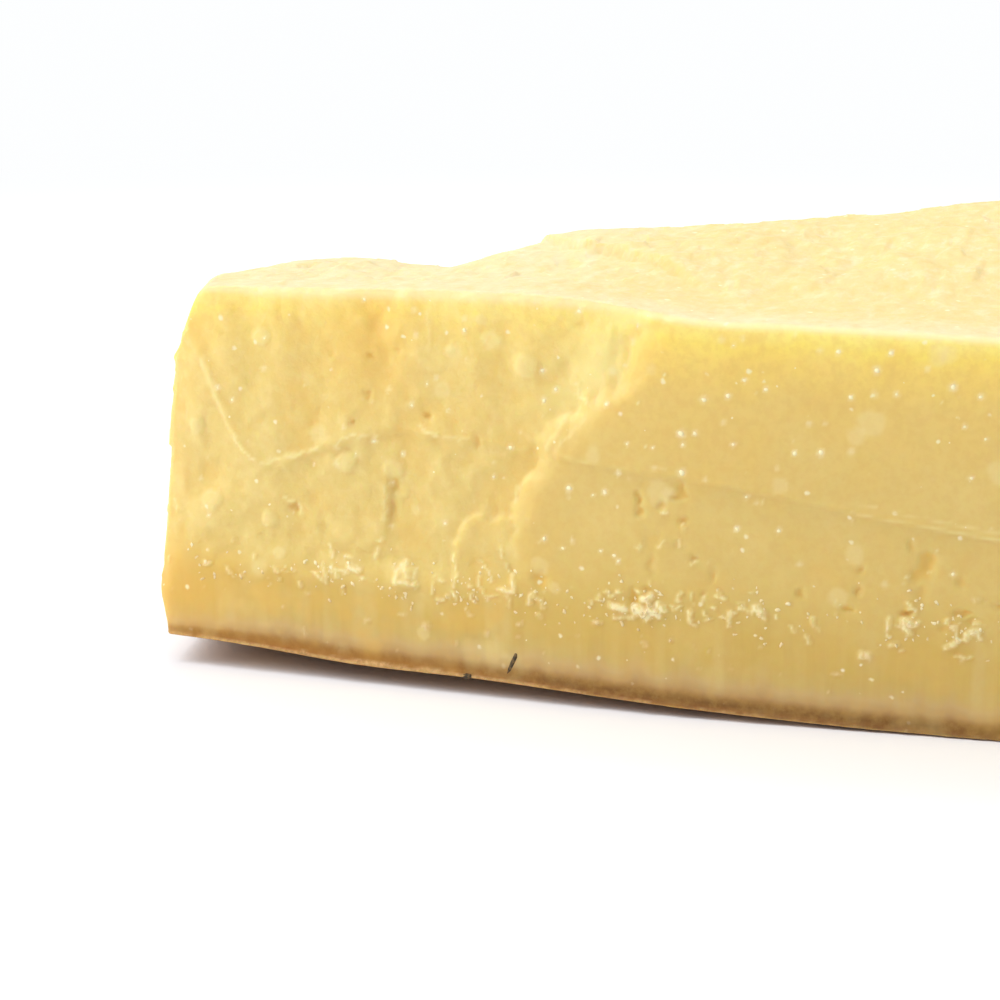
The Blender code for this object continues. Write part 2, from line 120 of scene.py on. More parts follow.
# Thin pale ridges where the tear's sheets end, and scores left by the knife:
# x and z of the two ends, width, height
TORN_RIDGES = (
    (7.7, 53.0, 9.6, 48.2, 1.5, 0.1), (9.6, 48.2, 11.6, 43.5, 1.3, 0.1),
    (11.6, 43.5, 13.2, 40.7, 0.8, 0.1), (13.2, 40.7, 14.9, 38.0, 0.6, 0.2),
    (15.3, 37.5, 17.2, 36.5, 0.5, 0.2), (18.4, 36.2, 23.0, 37.6, 0.4, 0.15),
    (23.0, 37.6, 26.0, 38.3, 0.5, 0.2), (26.3, 38.5, 28.8, 39.2, 0.5, 0.2),
    (31.6, 39.6, 33.2, 41.1, 0.4, 0.15), (33.6, 41.4, 35.1, 41.9, 0.5, 0.2),
    (35.1, 41.9, 37.2, 42.4, 0.4, 0.2), (37.8, 42.4, 39.4, 42.4, 0.5, 0.15),
    (46.8, 44.4, 47.6, 43.8, 0.6, 0.2), (47.9, 43.8, 50.0, 43.2, 0.7, 0.2),
    (51.4, 43.1, 55.8, 42.7, 0.35, 0.1), (69.6, 42.3, 71.2, 45.2, 0.6, 0.14),
    (71.2, 45.2, 73.2, 48.4, 0.6, 0.12), (71.9, 43.2, 74.0, 45.4, 0.5, 0.12),
    (74.0, 45.4, 76.2, 47.6, 0.4, 0.1), (74.4, 53.2, 75.1, 51.3, 0.5, 0.15),
    (75.1, 51.3, 76.3, 50.4, 0.6, 0.2), (63.9, 33.0, 64.4, 35.6, 0.7, 0.15),
    (64.4, 35.6, 66.4, 37.7, 0.8, 0.1), (40.7, 28.0, 40.9, 33.5, 0.6, 0.15),
    (22.3, 30.6, 23.6, 29.6, 0.6, 0.2), (24.9, 29.3, 25.6, 27.6, 0.6, 0.2),
    (48.6, 64.0, 48.7, 57.5, 0.4, 0.1),
)
KNIFE_SCORES = (
    (120.9, 37.0, 123.7, 36.6, 0.25, 0.12), (119.7, 35.4, 123.0, 35.1, 0.2, 0.12),
    (126.3, 35.9, 131.3, 35.1, 0.2, 0.08), (131.3, 35.1, 142.7, 33.4, 0.25, 0.1),
    (142.7, 33.4, 152.0, 31.6, 0.25, 0.1), (123.3, 34.8, 132.3, 33.7, 0.2, 0.1),
    (132.3, 33.7, 142.7, 32.3, 0.3, 0.12), (142.7, 32.3, 154.0, 30.0, 0.25, 0.1),
    (73.2, 41.4, 77.0, 40.9, 0.3, 0.1), (88.5, 40.8, 90.0, 40.7, 0.3, 0.1),
)

PIT_DEPTH = 0.52
# Holes and tears on the front: x, z, half width, half height, share of that depth
FRONT_PITS = (
    (24.1, 28.9, 1.1, 0.9, 1.1), (42.2, 34.2, 0.9, 1.4, 0.8), (42.0, 30.4, 0.6, 1.6, 0.5),
    (37.6, 49.1, 0.7, 0.7, 1.0), (35.2, 44.1, 0.6, 0.7, 0.9), (38.4, 55.6, 0.9, 0.5, 0.8),
    (48.2, 46.4, 1.0, 1.0, 1.1), (57.4, 42.4, 0.8, 1.0, 0.7), (43.2, 57.0, 0.8, 0.5, 0.6),
    (41.5, 50.0, 0.8, 0.3, 0.4), (24.6, 45.6, 0.5, 0.8, 0.4), (74.6, 63.0, 1.0, 0.5, 0.5),
    (31.9, 39.2, 0.4, 0.4, 0.4), (29.5, 25.8, 1.0, 0.8, 0.4), (53.4, 49.3, 0.5, 0.4, 0.4),
    (85.5, 35.3, 0.6, 1.2, 1.0), (85.8, 33.2, 0.6, 0.7, 0.9), (89.4, 34.4, 0.7, 0.5, 0.8),
    (90.2, 32.9, 0.5, 0.4, 0.5), (92.8, 37.4, 0.7, 1.2, 0.9), (91.7, 36.4, 1.0, 0.6, 0.9),
    (92.9, 32.3, 0.6, 0.6, 0.8), (92.2, 28.4, 1.0, 0.7, 0.5), (87.6, 28.6, 1.4, 1.7, 0.5),
    (87.7, 24.8, 0.7, 1.7, 0.6), (94.7, 26.2, 0.6, 0.5, 0.9), (97.7, 23.6, 0.7, 0.8, 0.6),
    (84.8, 19.0, 0.8, 1.4, 1.0), (87.0, 20.6, 0.9, 0.5, 0.7), (96.4, 20.1, 0.6, 0.9, 0.6),
    (86.0, 37.9, 0.6, 0.6, 0.5), (129.0, 30.4, 0.5, 1.3, 0.6), (131.8, 28.0, 1.4, 1.7, 1.1),
    (130.5, 25.8, 1.7, 1.2, 0.8), (131.0, 22.6, 1.1, 1.4, 0.5), (129.0, 19.3, 0.8, 0.7, 1.3),
    (137.0, 25.2, 0.7, 1.0, 0.6), (137.7, 20.4, 1.0, 0.5, 0.9), (138.9, 18.8, 1.3, 0.7, 0.7),
    (134.6, 17.3, 0.6, 0.7, 0.6), (140.6, 22.6, 0.7, 0.4, 0.7), (121.2, 26.3, 0.6, 0.5, 0.8),
    (121.0, 22.6, 0.7, 0.9, 0.8), (119.5, 19.7, 0.9, 0.6, 0.8), (112.0, 21.4, 0.6, 0.9, 0.7),
    (68.9, 20.4, 1.6, 1.6, 0.9), (153.0, 27.0, 1.6, 2.8, 0.9), (165.5, 21.5, 1.4, 1.6, 0.8),
    (161.0, 44.0, 0.9, 1.3, 0.6), (95.8, 42.9, 0.8, 0.25, 0.5), (70.8, 41.2, 0.8, 0.3, 0.6),
    (31.5, 55.9, 0.5, 0.7, 0.5), (11.4, 57.8, 0.6, 0.7, 0.5), (28.9, 45.6, 0.4, 0.9, 0.4),
    (143.1, 21.8, 1.0, 0.6, 0.7), (136.3, 19.8, 0.6, 0.6, 0.6), (92.2, 48.0, 0.4, 0.3, 0.3),
)
CRUMB_LINE_HALF_HEIGHT, SCRAP_HEIGHT, CLUMP_WIDTH = 2.3, 0.25, 3.6
# Where the torn crumbs of that line stand in clumps: x, and how strong
CRUMB_CLUMPS = (
    (7.5, 0.5), (13.0, 0.4), (19.0, 0.5), (32.0, 1.0), (44.0, 0.8), (57.0, 0.7), (67.0, 1.0),
    (80.0, 0.7), (87.5, 1.6), (99.0, 0.7), (107.0, 0.9), (129.6, 1.1), (138.5, 1.2), (155.0, 0.8),
    (166.0, 0.6),
)
# The larger shreds of torn curd: x and z of the two ends, width. A wider one stands higher
SHREDS = (
    (7.3, 18.0, 8.3, 17.7, 0.7), (11.8, 17.3, 13.3, 16.0, 0.5), (20.7, 18.1, 21.4, 17.4, 0.6),
    (7.2, 13.6, 7.4, 13.6, 0.4), (11.3, 13.4, 11.4, 13.3, 0.3), (19.8, 15.3, 20.0, 15.3, 0.3),
    (22.1, 11.2, 22.3, 11.2, 0.3), (25.6, 16.0, 25.7, 15.6, 0.3), (27.1, 14.2, 27.2, 14.2, 0.2),
    (22.2, 17.7, 22.4, 17.5, 0.3), (24.1, 18.1, 24.2, 17.8, 0.3), (30.6, 23.1, 31.2, 21.0, 0.5),
    (29.5, 19.8, 29.8, 18.1, 0.4), (29.8, 18.1, 30.1, 16.7, 0.6), (28.1, 17.9, 29.5, 16.9, 0.6),
    (31.2, 19.5, 32.4, 18.9, 0.5), (32.1, 18.9, 32.4, 17.9, 0.6), (32.9, 18.7, 34.4, 18.5, 0.5),
    (34.7, 19.4, 36.1, 19.1, 1.3), (37.0, 17.7, 37.4, 17.8, 0.6), (33.7, 21.0, 34.3, 21.1, 0.6),
    (39.3, 24.0, 40.1, 24.5, 0.5), (39.5, 22.7, 39.1, 21.5, 0.5), (42.5, 20.1, 42.6, 19.3, 0.3),
    (44.7, 21.5, 44.5, 20.3, 0.6), (44.4, 20.3, 45.3, 18.9, 0.5), (43.8, 20.5, 43.0, 18.2, 0.4),
    (42.9, 17.9, 46.5, 17.6, 0.7), (46.8, 19.9, 46.5, 18.5, 0.5), (49.8, 19.4, 49.5, 16.2, 0.4),
    (51.2, 18.7, 51.7, 18.7, 0.5), (50.9, 15.5, 51.6, 15.8, 0.6), (52.3, 16.6, 52.7, 15.6, 0.4),
    (52.9, 22.9, 53.4, 22.2, 0.6), (53.5, 22.0, 54.2, 19.5, 0.4), (53.9, 19.2, 53.8, 18.0, 0.4),
    (53.5, 17.0, 53.8, 16.5, 0.6), (56.7, 16.9, 57.0, 15.5, 0.5), (57.9, 22.5, 59.5, 21.1, 0.3),
    (59.5, 21.1, 60.0, 19.2, 0.4), (57.8, 20.1, 58.2, 18.4, 0.3), (58.2, 18.4, 58.9, 17.1, 0.4),
    (58.9, 17.0, 61.6, 17.2, 0.3), (61.9, 18.5, 62.8, 18.2, 0.8), (62.8, 18.0, 64.2, 18.2, 0.6),
    (63.9, 20.4, 64.2, 18.4, 0.7), (63.0, 17.2, 63.5, 15.5, 0.5), (61.6, 25.0, 61.7, 23.3, 0.5),
    (62.7, 22.3, 62.9, 21.1, 0.4), (55.8, 14.2, 56.6, 13.5, 0.5), (67.5, 18.2, 66.8, 16.3, 0.6),
    (67.5, 18.2, 68.6, 17.2, 0.6), (68.6, 17.2, 69.6, 15.8, 0.6), (68.6, 14.5, 68.9, 14.5, 0.7),
    (64.9, 12.6, 65.5, 12.6, 0.6), (59.1, 10.6, 59.4, 10.6, 0.7), (37.7, 10.7, 38.1, 10.7, 0.7),
    (48.2, 10.5, 49.0, 10.8, 0.6), (43.7, 12.2, 44.9, 12.2, 0.3), (78.8, 18.2, 79.3, 18.1, 0.7),
    (79.8, 19.6, 80.4, 19.6, 0.5), (80.8, 19.1, 81.4, 19.2, 0.6), (82.1, 19.8, 82.5, 19.8, 0.6),
    (80.8, 18.0, 81.3, 17.8, 0.5), (81.5, 17.4, 83.2, 17.0, 1.5), (81.8, 15.5, 83.6, 15.7, 0.5),
    (78.6, 14.4, 79.3, 14.4, 0.6), (85.1, 20.0, 85.4, 20.0, 0.8), (86.4, 18.9, 87.8, 19.4, 1.2),
    (87.2, 18.5, 87.6, 18.0, 1.0), (85.5, 16.9, 87.1, 16.1, 1.7), (87.6, 17.3, 89.0, 16.5, 1.5),
    (89.0, 18.1, 90.0, 17.1, 1.0), (84.3, 15.8, 85.4, 15.9, 0.7), (89.6, 33.8, 90.2, 33.5, 0.6),
    (93.0, 31.5, 92.9, 30.8, 0.4), (88.9, 27.8, 89.7, 28.6, 0.4), (85.6, 27.1, 85.9, 27.5, 0.5),
    (91.3, 18.1, 91.8, 17.3, 0.4), (91.8, 17.3, 92.6, 18.4, 0.5), (92.6, 20.5, 92.1, 19.2, 0.5),
    (94.3, 17.6, 94.5, 15.8, 0.8), (94.7, 15.6, 95.3, 15.2, 0.4), (96.7, 17.5, 97.0, 17.0, 0.6),
    (96.8, 16.1, 97.6, 16.6, 0.4), (97.9, 18.5, 98.3, 18.4, 0.5), (96.7, 19.9, 96.3, 18.7, 0.4),
    (98.5, 20.2, 99.7, 19.9, 0.6), (98.7, 21.2, 99.0, 20.3, 0.4), (99.5, 17.0, 100.1, 16.9, 0.4),
    (100.5, 16.6, 101.0, 15.6, 0.6), (104.8, 18.8, 106.2, 18.3, 1.1), (105.5, 18.0, 106.2, 17.2, 0.7),
    (94.4, 25.1, 95.5, 25.8, 0.4), (114.2, 17.7, 114.4, 16.7, 0.6), (111.1, 16.2, 111.2, 15.2, 0.6),
    (113.2, 14.5, 113.5, 13.5, 0.6), (121.8, 12.2, 122.8, 12.1, 1.1), (126.3, 14.2, 127.1, 14.4, 0.5),
    (128.8, 21.0, 130.0, 20.0, 0.7), (129.8, 20.2, 129.8, 19.3, 0.4), (128.3, 18.2, 129.6, 17.9, 1.2),
    (128.4, 17.3, 129.3, 16.5, 1.1), (130.0, 17.8, 130.4, 17.9, 0.8), (127.4, 17.6, 127.4, 17.5, 0.6),
    (135.2, 14.5, 136.5, 15.4, 0.7), (136.5, 15.4, 137.8, 15.8, 0.6), (136.8, 13.0, 138.3, 12.7, 0.5),
    (138.3, 12.7, 138.8, 13.2, 0.5), (139.2, 18.3, 139.6, 18.5, 0.7), (138.6, 17.1, 140.1, 17.4, 0.7),
    (139.6, 17.2, 140.2, 16.1, 0.7), (138.6, 15.7, 139.0, 16.7, 0.4), (139.1, 22.2, 139.7, 22.4, 0.5),
    (132.3, 26.6, 132.6, 26.3, 0.3), (128.5, 25.5, 128.8, 25.6, 0.3), (91.3, 12.6, 91.4, 12.5, 0.5),
    (94.9, 11.4, 95.0, 11.3, 0.3), (97.4, 11.2, 97.8, 10.7, 0.3), (86.4, 11.3, 87.2, 11.2, 0.3),
    (117.6, 9.1, 118.9, 8.4, 0.3), (105.8, 12.4, 106.0, 12.4, 0.2), (124.1, 13.7, 124.2, 13.7, 0.2),
    (128.0, 13.7, 128.2, 13.5, 0.3), (104.2, 21.2, 104.3, 21.2, 0.4), (102.2, 19.6, 102.3, 19.6, 0.3),
    (100.1, 8.8, 101.4, 8.5, 0.2),
)
SHRED_LEAST, SHRED_PER_WIDTH = 0.15, 0.3
# Each set of lines with their heights, how ragged they are, and the seed of that
TORN_LINES = (TORN_RIDGES, 0.3, 45)
SCORE_LINES = (KNIFE_SCORES, 0.1, 55)
SHRED_LINES = ([(*shred, SHRED_LEAST + SHRED_PER_WIDTH * shred[-1]) for shred in SHREDS], 0.3, 51)
# Pale, rounder curd grains that show in the front: x, z, radius
CURD_GRAINS = (
    (18.5, 57.6, 1.8), (6.2, 41.4, 1.7), (8.6, 29.0, 2.3), (19.7, 26.6, 1.7), (42.2, 37.0, 1.7),
    (68.6, 22.5, 1.9), (108.3, 39.3, 1.8), (120.4, 28.7, 1.9), (132.5, 61.5, 2.2), (34.0, 37.6, 2.2),
    (88.8, 36.7, 2.4), (59.9, 59.6, 1.9), (52.5, 57.4, 1.2), (65.7, 55.6, 2.3), (77.9, 42.1, 1.6),
    (122.3, 49.7, 2.6), (142.2, 43.0, 2.2), (44.5, 18.6, 2.0), (154.0, 47.0, 1.9), (168.0, 34.0, 1.7),
)
GRAIN_HEIGHT = 0.3
# The larger crystals that show in the front: x, z, radius
CRYSTALS = (
    (37.3, 65.0, 0.4), (46.2, 63.8, 0.45), (55.0, 62.8, 0.4), (55.0, 60.9, 0.45), (46.5, 59.6, 0.4),
    (50.1, 52.7, 0.4), (48.4, 51.6, 0.25), (41.6, 50.3, 0.35), (45.7, 47.8, 0.35), (33.6, 43.4, 0.35),
    (18.9, 52.3, 0.45), (19.3, 57.5, 0.3), (10.4, 48.6, 0.35), (13.0, 46.6, 0.4), (38.8, 41.2, 0.45),
    (32.2, 39.7, 0.4), (43.8, 39.4, 0.35), (32.1, 37.0, 0.45), (35.6, 38.9, 0.25), (41.8, 34.2, 0.3),
    (51.6, 28.3, 0.4), (41.8, 26.9, 0.35), (6.2, 32.3, 0.3), (8.1, 26.2, 0.25), (74.6, 65.0, 0.5),
    (84.6, 63.2, 0.35), (83.8, 60.6, 0.4), (82.5, 56.8, 0.45), (80.5, 55.8, 0.7), (74.2, 53.2, 0.3),
    (70.7, 52.1, 0.45), (68.8, 50.2, 0.5), (80.0, 50.6, 0.4), (68.5, 55.1, 0.4), (63.0, 41.9, 0.5),
    (64.8, 44.7, 0.35), (60.1, 39.3, 0.3), (60.0, 36.8, 0.35), (73.7, 36.3, 0.6), (73.7, 34.8, 0.3),
    (79.8, 36.1, 0.5), (77.8, 35.5, 0.25), (69.4, 27.5, 0.45), (74.4, 27.4, 0.35), (72.7, 26.2, 0.35),
    (79.2, 26.3, 0.35), (81.5, 25.7, 0.4), (82.2, 24.9, 0.35), (98.7, 62.1, 0.55), (102.1, 62.5, 0.3),
    (100.7, 61.3, 0.3), (102.5, 55.8, 0.35), (96.1, 52.4, 0.55), (99.9, 53.2, 0.5), (92.5, 46.7, 0.7),
    (94.7, 46.9, 0.45), (92.8, 44.9, 0.35), (83.6, 44.4, 0.25), (87.9, 44.1, 0.25), (99.3, 48.9, 0.4),
    (100.9, 45.4, 0.35), (88.2, 40.9, 0.4), (82.1, 39.5, 0.4), (92.7, 40.4, 0.7), (96.6, 39.4, 0.35),
    (103.0, 36.9, 0.35), (104.7, 36.0, 0.45), (101.6, 31.6, 0.45), (110.3, 63.5, 0.4),
    (117.1, 61.0, 0.5), (114.2, 61.1, 0.45), (125.2, 61.2, 0.5), (123.1, 58.3, 0.6),
    (122.7, 54.5, 0.55), (119.2, 53.9, 0.5), (105.9, 54.5, 0.45), (126.2, 54.7, 0.35),
    (134.8, 56.2, 0.6), (139.0, 54.9, 0.45), (130.8, 58.9, 0.4), (115.3, 49.6, 0.3),
    (112.8, 49.4, 0.35), (110.7, 44.5, 0.45), (114.8, 44.9, 0.55), (119.5, 45.3, 0.6),
    (108.3, 31.7, 0.4), (111.6, 26.4, 0.45), (125.2, 24.1, 0.5), (138.1, 42.0, 0.4), (136.8, 50.1, 0.3),
    (140.0, 48.3, 0.3), (135.7, 26.4, 0.4),
)
# The rind's cut edge stands a little proud of the paste, and is thickest near the narrow end
LIP_OUT, LIP_HEIGHT, LIP_THICKEST, LIP_THICKEST_X = 0.35, 0.4, 0.95, 40.0

# Steps of the skin's grid, finer along the part that shows than beyond it
STEP_ALONG, STEP_BEYOND, DENSE_LENGTH = 0.43, 1.2, 146.0
STEP_FRONT, STEP_TOP, STEP_BACK, STEP_UNDER = 0.52, 1.4, 2.4, 6.0
CRUMBLY_FROM, CRUMBLY_TO, STEP_CRUMBS = 12.5, 22.5, 0.25


def smoothstep(value, low, high):
    """0 below low, 1 above high, and an S curve of 3 s^2 - 2 s^3 between them."""
    share = np.clip((value - low) / (high - low), 0.0, 1.0)
    return share * share * (3.0 - 2.0 * share)


def bump(value, centre, width):
    """A bell curve, 1 at its centre."""
    return np.exp(-(((value - centre) / width) ** 2))


def curve(points, value):
    """A smooth curve through points, read where its first coordinate is value: a cubic between
    each two, with the slope that its neighbours give."""
    a, b = np.array(points).T
    slope = np.gradient(b, a)
    i = np.clip(np.searchsorted(a, value) - 1, 0, len(a) - 2)
    step = a[i + 1] - a[i]
    t = np.clip((value - a[i]) / step, 0.0, 1.0)
    ends = b[i] * (1 + 2 * t) * (1 - t) ** 2 + b[i + 1] * t * t * (3 - 2 * t)
    return ends + step * t * (1 - t) * (slope[i] * (1 - t) - slope[i + 1] * t)


def cell_random(i, j, seed):
    """An even random number from 0 to 1 for each cell (i, j), from a hash of its indices."""
    mask = np.uint64(0xFFFFFFFF)
    h = (i.astype(np.int64) * 374761393 + j.astype(np.int64) * 668265263 + seed * 974634777)
    h = h.astype(np.uint64) & mask
    h = ((h ^ (h >> np.uint64(13))) * np.uint64(1274126177)) & mask
    h = ((h ^ (h >> np.uint64(16))) * np.uint64(2246822519)) & mask
    return (h ^ (h >> np.uint64(15))).astype(np.float64) / float(0xFFFFFFFF)


def waves(a, b, size, seed):
    """Smooth noise from -1 to 1: random heights on a square lattice of this size, blended."""
    i, j = np.floor(a / size), np.floor(b / size)
    s, t = a / size - i, b / size - j
    s, t = s * s * s * (s * (6 * s - 15) + 10), t * t * t * (t * (6 * t - 15) + 10)
    low = cell_random(i, j, seed) * (1 - s) + cell_random(i + 1, j, seed) * s
    high = cell_random(i, j + 1, seed) * (1 - s) + cell_random(i + 1, j + 1, seed) * s
    return 2 * (low * (1 - t) + high * t) - 1


def facets(a, b, size, seed):
    """Broken, rocky noise, about -1 to 1: each curd grain is a flat facet, tilted at random.

    The plane is cut into cells round jittered points; a cell's height is a random offset plus
    a random slope times the distance from its point."""
    i, j = np.floor(a / size), np.floor(b / size)
    nearest = np.full(np.shape(a), 9.0)
    height = np.zeros(np.shape(a))
    for di in (-1, 0, 1):
        for dj in (-1, 0, 1):
            ci, cj = i + di, j + dj
            da = a / size - ci - 0.1 - 0.8 * cell_random(ci, cj, seed)
            db = b / size - cj - 0.1 - 0.8 * cell_random(ci, cj, seed + 1)
            away = da * da + db * db
            tilt_a = 2 * cell_random(ci, cj, seed + 2) - 1
            tilt_b = 2 * cell_random(ci, cj, seed + 3) - 1
            offset = cell_random(ci, cj, seed + 4) - 0.5
            closer = away < nearest
            height = np.where(closer, 0.8 * offset + 0.9 * (tilt_a * da + tilt_b * db), height)
            nearest = np.where(closer, away, nearest)
    return height


def front_at(x):
    """The slice in plan: straight from the narrow end, then turned back by a soft bend."""
    past = x - BEND_X
    return BEND_SLOPE * (past + np.sqrt(past**2 + BEND_SOFTNESS**2)) / 2


def back_at(x):
    """The back in plan, a straight break."""
    return NARROW_DEPTH + BACK_SLOPE * x


def narrow_end_at(z):
    """How far the narrow end stands in at height z: an even lean and a round shoulder."""
    shoulder = SHOULDER_IN * (z / HEIGHT) ** SHOULDER_POWER
    foot = FOOT_OUT * smoothstep(z, 0.0, FOOT_HEIGHT)
    return NARROW_LEAN * np.maximum(z - LEAN_START, 0.0) + shoulder - foot


def ledge_at(x, y):
    """How far a point of the top lies past the ledge, with the ledge's ragged line."""
    past = (x - LEDGE_POINT[0]) * LEDGE_ACROSS[0] + (y - LEDGE_POINT[1]) * LEDGE_ACROSS[1]
    return past + 2.6 * waves(x, y, 19.0, 12) + 1.2 * waves(x, y, 6.0, 11)


def top_at(x, y):
    """The height of the split top before its roughness, from the front edge to the back edge."""
    front = curve(TOP_FRONT_EDGE, x)
    behind = (y - front_at(x)) / (back_at(x) - front_at(x))
    climb = smoothstep(behind, 0.0, 1.25) / smoothstep(1.0, 0.0, 1.25)
    ledge = LEDGE_STEP * smoothstep(ledge_at(x, y), -0.4, 0.6) * smoothstep(behind, 0.15, 0.5)
    return front + (curve(TOP_BACK_EDGE, x) - front) * climb + ledge


def rind_at(x, y):
    """The underside: flat on the table, and curled up towards the narrow end of the front."""
    from_corner = x + CURL_BACK * y
    sag = SAG_DEPTH * bump(from_corner, SAG_X, SAG_WIDTH)
    curl = CURL_HEIGHT * (1 - smoothstep(from_corner, CURL_START, CURL_END)) - sag
    return curl + TABLE_Z * smoothstep(from_corner, REST_START, REST_END)


def pits_at(x, z):
    """How deep the holes of the front are: for each, its depth over a rounded, ragged oval."""
    ragged_x = x + 0.45 * waves(x, z, 1.3, 31) + 0.2 * waves(x, z, 0.7, 32)
    ragged_z = z + 0.45 * waves(x, z, 1.3, 33) + 0.2 * waves(x, z, 0.7, 34)
    depth = np.zeros(np.shape(x))
    for pit_x, pit_z, half_width, half_height, deep in FRONT_PITS:
        away = ((ragged_x - pit_x) / half_width) ** 2 + ((ragged_z - pit_z) / half_height) ** 2
        depth += PIT_DEPTH * deep * np.exp(-(away**1.5))
    return depth


def grains_at(x, z):
    """1 inside a pale curd grain of the front, 0 outside, with a soft edge."""
    inside = np.zeros(np.shape(x))
    for grain_x, grain_z, radius in CURD_GRAINS:
        away = np.hypot(x - grain_x, z - grain_z) + 0.5 * waves(x, z, 1.7, 38)
        inside = np.maximum(inside, 1 - smoothstep(away, 0.6 * radius, 1.05 * radius))
    return inside


def ridges_at(x, z, lines, ragged, seed):
    """The height of low ridges along lines, each given as x and z of both ends, width, height.

    It falls off from a line to a little past half its width; ragged shifts it at random."""
    ragged_x = x + ragged * waves(x, z, 1.1, seed) + 0.5 * ragged * waves(x, z, 0.6, seed + 1)
    ragged_z = z + ragged * waves(x, z, 1.1, seed + 2) + 0.5 * ragged * waves(x, z, 0.6, seed + 3)
    height = np.zeros(np.shape(x))
    for x0, z0, x1, z1, width, high in lines:
        across, up = x1 - x0, z1 - z0
        share = ((ragged_x - x0) * across + (ragged_z - z0) * up) / (across**2 + up**2 + 0.01)
        share = np.clip(share, 0.0, 1.0)
        away = np.hypot(ragged_x - x0 - share * across, ragged_z - z0 - share * up)
        height = np.maximum(height, high * (1 - smoothstep(away, 0.0, 0.7 * width + 0.2)))
    return height


def clumps_at(x, width):
    """How thick the torn crumbs stand at x: a bell curve of this width for each clump."""
    return sum(strength * bump(x, clump_x, width) for clump_x, strength in CRUMB_CLUMPS)


def scraps_at(x, z):
    """Where scraps of torn curd cover the front at random, 0 to 1, thickest in the clumps."""
    near_line = bump(z, FIRM_PASTE + 0.2, CRUMB_LINE_HALF_HEIGHT)
    speckle = waves(x, 0.6 * z, 1.2, 28) + 0.7 * waves(x, 0.6 * z, 0.7, 29)
    level = 1.25 - 0.75 * np.minimum(0.3 + clumps_at(x, CLUMP_WIDTH), 1.2) * near_line
    return smoothstep(speckle, level, level + 0.35)


def crystal_strength(x, z):
    """How clearly the crystal at x and z shows, drawn evenly from 0.35 to 1."""
    return 0.35 + 0.65 * cell_random(np.round(10 * np.asarray(x)), np.round(10 * np.asarray(z)), 60)


def crystals_at(x, z):
    """How clearly the front's crystals show, falling to 0 through the clouded paste round each."""
    cloud = np.zeros(np.shape(x))
    for crystal_x, crystal_z, radius in CRYSTALS:
        away = np.hypot(x - crystal_x, z - crystal_z) + 0.15 * waves(x, z, 0.7, 59)
        clouded = 1 - smoothstep(away, 0.3 * radius, 0.2 + 1.3 * radius)
        cloud = np.maximum(cloud, crystal_strength(crystal_x, crystal_z) * clouded)
    return cloud


def torn_at(x, z):
    """The share of the front that is torn: 0 right of the slice's ragged edge, rising to 1.

    Low down the slice rolls over into the tear and ends at a corner; higher up it is soft."""
    ragged = 0.5 * waves(x, z, 5.0, 21) + 0.3 * waves(x, z, 1.9, 22)
    high_up = smoothstep(z, 40.0, 47.0) * (1 - 0.15 * smoothstep(z, WIDEST_AT, 62.0))
    width = TEAR_SLOPE_WIDTH + (TEAR_SLOPE_WIDEST - TEAR_SLOPE_WIDTH) * high_up
    width *= 1 + 0.4 * waves(x, z, 4.5, 61) + 0.3 * waves(x, z, 1.9, 62)
    share = np.clip((curve(SLICE_EDGE, z) + ragged - x) / width, 0.0, 1.0)
    rolled = share**2
    return rolled + (smoothstep(share, 0.0, 1.0) - rolled) * high_up


def stains_at(x, z):
    """How amber the front's paste looks in its stained patches, 0 to 1."""
    return sum(
        strength * bump(x, stain_x, wide) * bump(z, stain_z, high)
        for stain_x, stain_z, wide, high, strength in STAINS
    )


def lumps_at(x, z):
    """The soft lumps of the torn face, from about -1 to 1."""
    soft = 0.6 * waves(x, z, 6.5, 25) + 0.4 * waves(x, z, 2.8, 26) + 0.18 * waves(x, z, 1.4, 35)
    return soft + 0.2 * facets(x, z, 3.2, 43)


